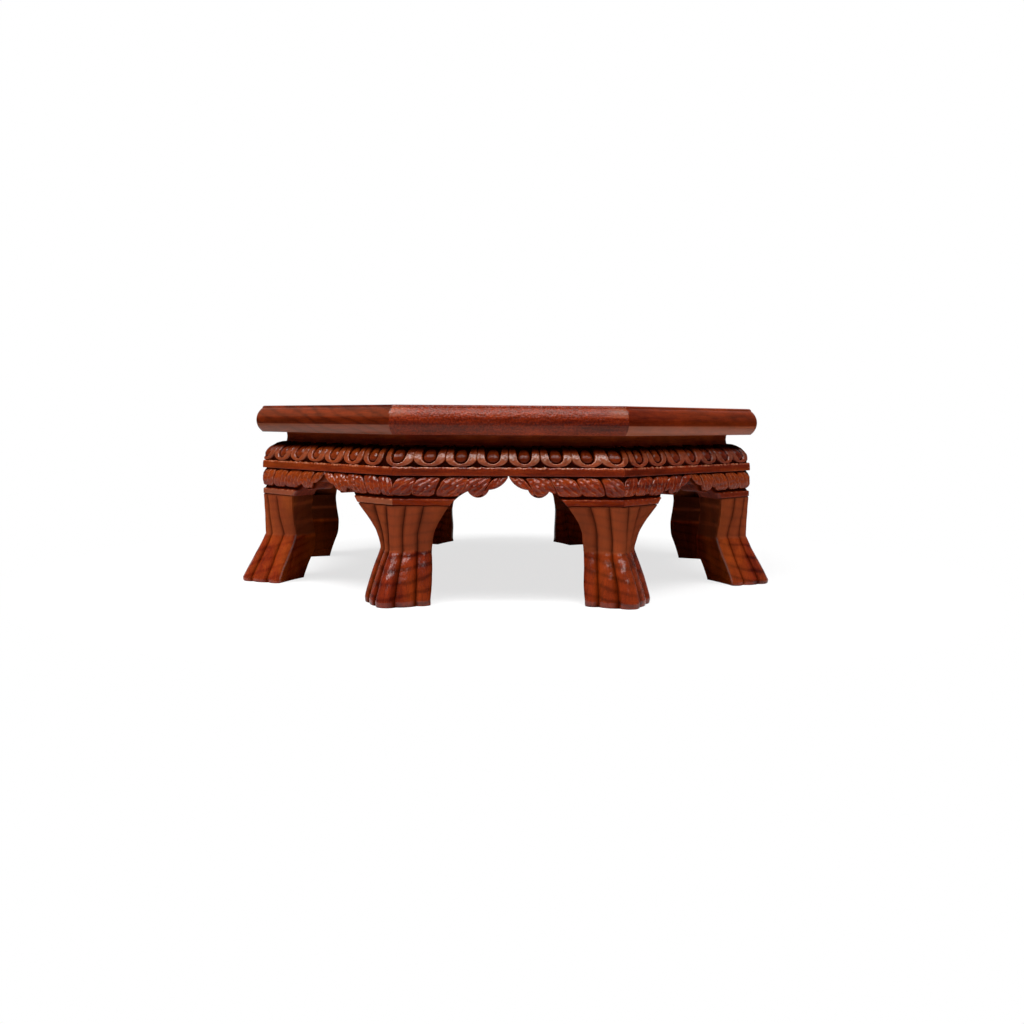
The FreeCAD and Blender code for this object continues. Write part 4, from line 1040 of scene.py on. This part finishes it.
IMAGE, SENSOR_WIDTH, CLIP_END = 1024, 36, 100
FOCAL_PIXELS, DISTANCE, EYE_HEIGHT = 1059.2, 1.2381, 0.1713
CENTRE_X, HORIZON_Y = 506.27, 420.3
YAW, ROLL = 0.010, 0.007
WHITE = (1, 1, 1, 1)
FLOOR_HALF, FLOOR_GREY, SHEET_WHITE = 30, (0.12, 0.12, 0.12, 1), (0.82, 0.82, 0.82, 1)
SHEET_EDGE, SHEET_INNER, FLOOR_ROUGHNESS = 0.64, 0.59, 0.9
# How white the camera sees the floor under the table, and where that fades to full white
SHADOW_GLOW, SHADOW_INNER, SHADOW_EDGE = 0.72, 0.20, 0.55
ROOM_LIGHT, BACKDROP_FROM, BACKDROP_FULL = 0.16, 0.5, 0.8
# Lamps: place, size and power, all aimed at one point of the table
LAMP_TARGET = (0, 0, 0.1)
LAMPS = {
    "left_lamp": ((-1.15, -0.60, 1.9), (0.9, 0.9), 46),
    "right_lamp": ((0.95, -0.65, 2.0), (0.9, 0.9), 20),
    "left_front_lamp": ((-0.42, -1.15, 2.0), (0.6, 1.2), 18),
    "right_front_lamp": ((0.42, -1.15, 2.0), (0.6, 1.2), 18),
    "ceiling": ((0, -0.85, 2.2), (2.4, 1.5), 22),
}


def make_camera():
    """The camera of the photograph, nearly level and just below the table's top."""
    camera_data = bpy.data.cameras.new("camera")
    camera_data.sensor_fit = "HORIZONTAL"
    camera_data.sensor_width = SENSOR_WIDTH
    camera_data.lens = SENSOR_WIDTH * FOCAL_PIXELS / IMAGE
    camera_data.shift_x = (IMAGE / 2 - CENTRE_X) / IMAGE
    camera_data.shift_y = (HORIZON_Y - IMAGE / 2) / IMAGE
    camera_data.clip_end = CLIP_END
    camera = bpy.data.objects.new("camera", camera_data)
    bpy.context.scene.collection.objects.link(camera)
    back = (-DISTANCE * math.sin(YAW), -DISTANCE * math.cos(YAW), EYE_HEIGHT)
    level = Matrix.Rotation(-YAW, 4, "Z") @ Matrix.Rotation(math.pi / 2, 4, "X")
    camera.matrix_world = Matrix.Translation(back) @ level @ Matrix.Rotation(ROLL, 4, "Z")
    bpy.context.scene.camera = camera


def seen_by(tree, mask):
    """One for what the camera sees, and for reflections and glass where the mask is one."""
    path = add(tree, "LightPath").outputs
    mirrored = maths(tree, "ADD", path["Is Glossy Ray"], path["Is Transmission Ray"], clamp=True)
    mirrored = maths(tree, "MULTIPLY", mirrored, mask)
    return maths(tree, "ADD", path["Is Camera Ray"], mirrored, clamp=True)


def make_floor():
    """A white sheet under the table on a darker floor, which the camera sees fade to white."""
    mesh = bpy.data.meshes.new("floor")
    corners = [(FLOOR_HALF * x, FLOOR_HALF * y, 0) for x, y in ((-1, -1), (1, -1), (1, 1), (-1, 1))]
    mesh.from_pydata(corners, [], [(0, 1, 2, 3)])
    floor = bpy.data.objects.new("floor", mesh)
    bpy.context.scene.collection.objects.link(floor)
    material, tree, shader = node_tree("floor_white")
    place = add(tree, "TexCoord").outputs["Object"]
    away = add(tree, "VectorMath", {0: place}, operation="LENGTH").outputs["Value"]
    sheet = step(tree, away, SHEET_EDGE, SHEET_INNER)
    feed(tree, shader.inputs["Base Color"], mix(tree, "MIX", sheet, FLOOR_GREY, SHEET_WHITE))
    shader.inputs["Roughness"].default_value = FLOOR_ROUGHNESS
    shader.inputs["Specular IOR Level"].default_value = 0
    glow = add(tree, "Emission", {"Color": WHITE, "Strength": 1}).outputs[0]
    outwards = step(tree, away, SHADOW_INNER, SHADOW_EDGE)
    fade = level_ramp(tree, outwards, [(0, SHADOW_GLOW), (1, 1)])
    amount = maths(tree, "MULTIPLY", fade, seen_by(tree, sheet))
    blend = add(tree, "MixShader", {0: amount, 1: shader.outputs[0], 2: glow}).outputs[0]
    feed(tree, tree.nodes["Material Output"].inputs["Surface"], blend)
    mesh.materials.append(material)


def make_world():
    """A white backdrop behind the table in a dim room, which gives only a faint even light."""
    world = bpy.data.worlds.new("world")
    bpy.context.scene.world = world
    world.use_nodes = True
    tree = world.node_tree
    tree.nodes.clear()
    way = add(tree, "TexCoord").outputs["Generated"]
    depth = add(tree, "SeparateXYZ", {"Vector": way}).outputs["Y"]
    behind = step(tree, depth, BACKDROP_FROM, BACKDROP_FULL)
    white = add(tree, "Background", {"Color": WHITE, "Strength": 1}).outputs[0]
    room = add(tree, "Background", {"Color": WHITE, "Strength": ROOM_LIGHT}).outputs[0]
    blend = add(tree, "MixShader", {0: seen_by(tree, behind), 1: room, 2: white}).outputs[0]
    feed(tree, add(tree, "OutputWorld").inputs["Surface"], blend)


def make_lamp(name, place, size, watts):
    """A rectangular lamp aimed at the table."""
    data = bpy.data.lights.new(name, "AREA")
    data.shape = "RECTANGLE"
    data.size, data.size_y = size
    data.energy = watts
    lamp = bpy.data.objects.new(name, data)
    bpy.context.scene.collection.objects.link(lamp)
    aim = (Vector(LAMP_TARGET) - Vector(place)).to_track_quat("-Z", "Y")
    lamp.matrix_world = Matrix.Translation(place) @ aim.to_matrix().to_4x4()


make_camera()
make_world()
make_floor()
for name, (place, size, watts) in LAMPS.items():
    make_lamp(name, place, size, watts)
for number in range(SIDES):
    make_top_rail(number)
    make_neck_rail(number)
    make_ring_rail(number)
    for hand in (-1, 1):
        make_bracket(number, hand)
    make_leg(number)
dress_inner_nodes()

bpy.context.scene.view_settings.view_transform = "Standard"
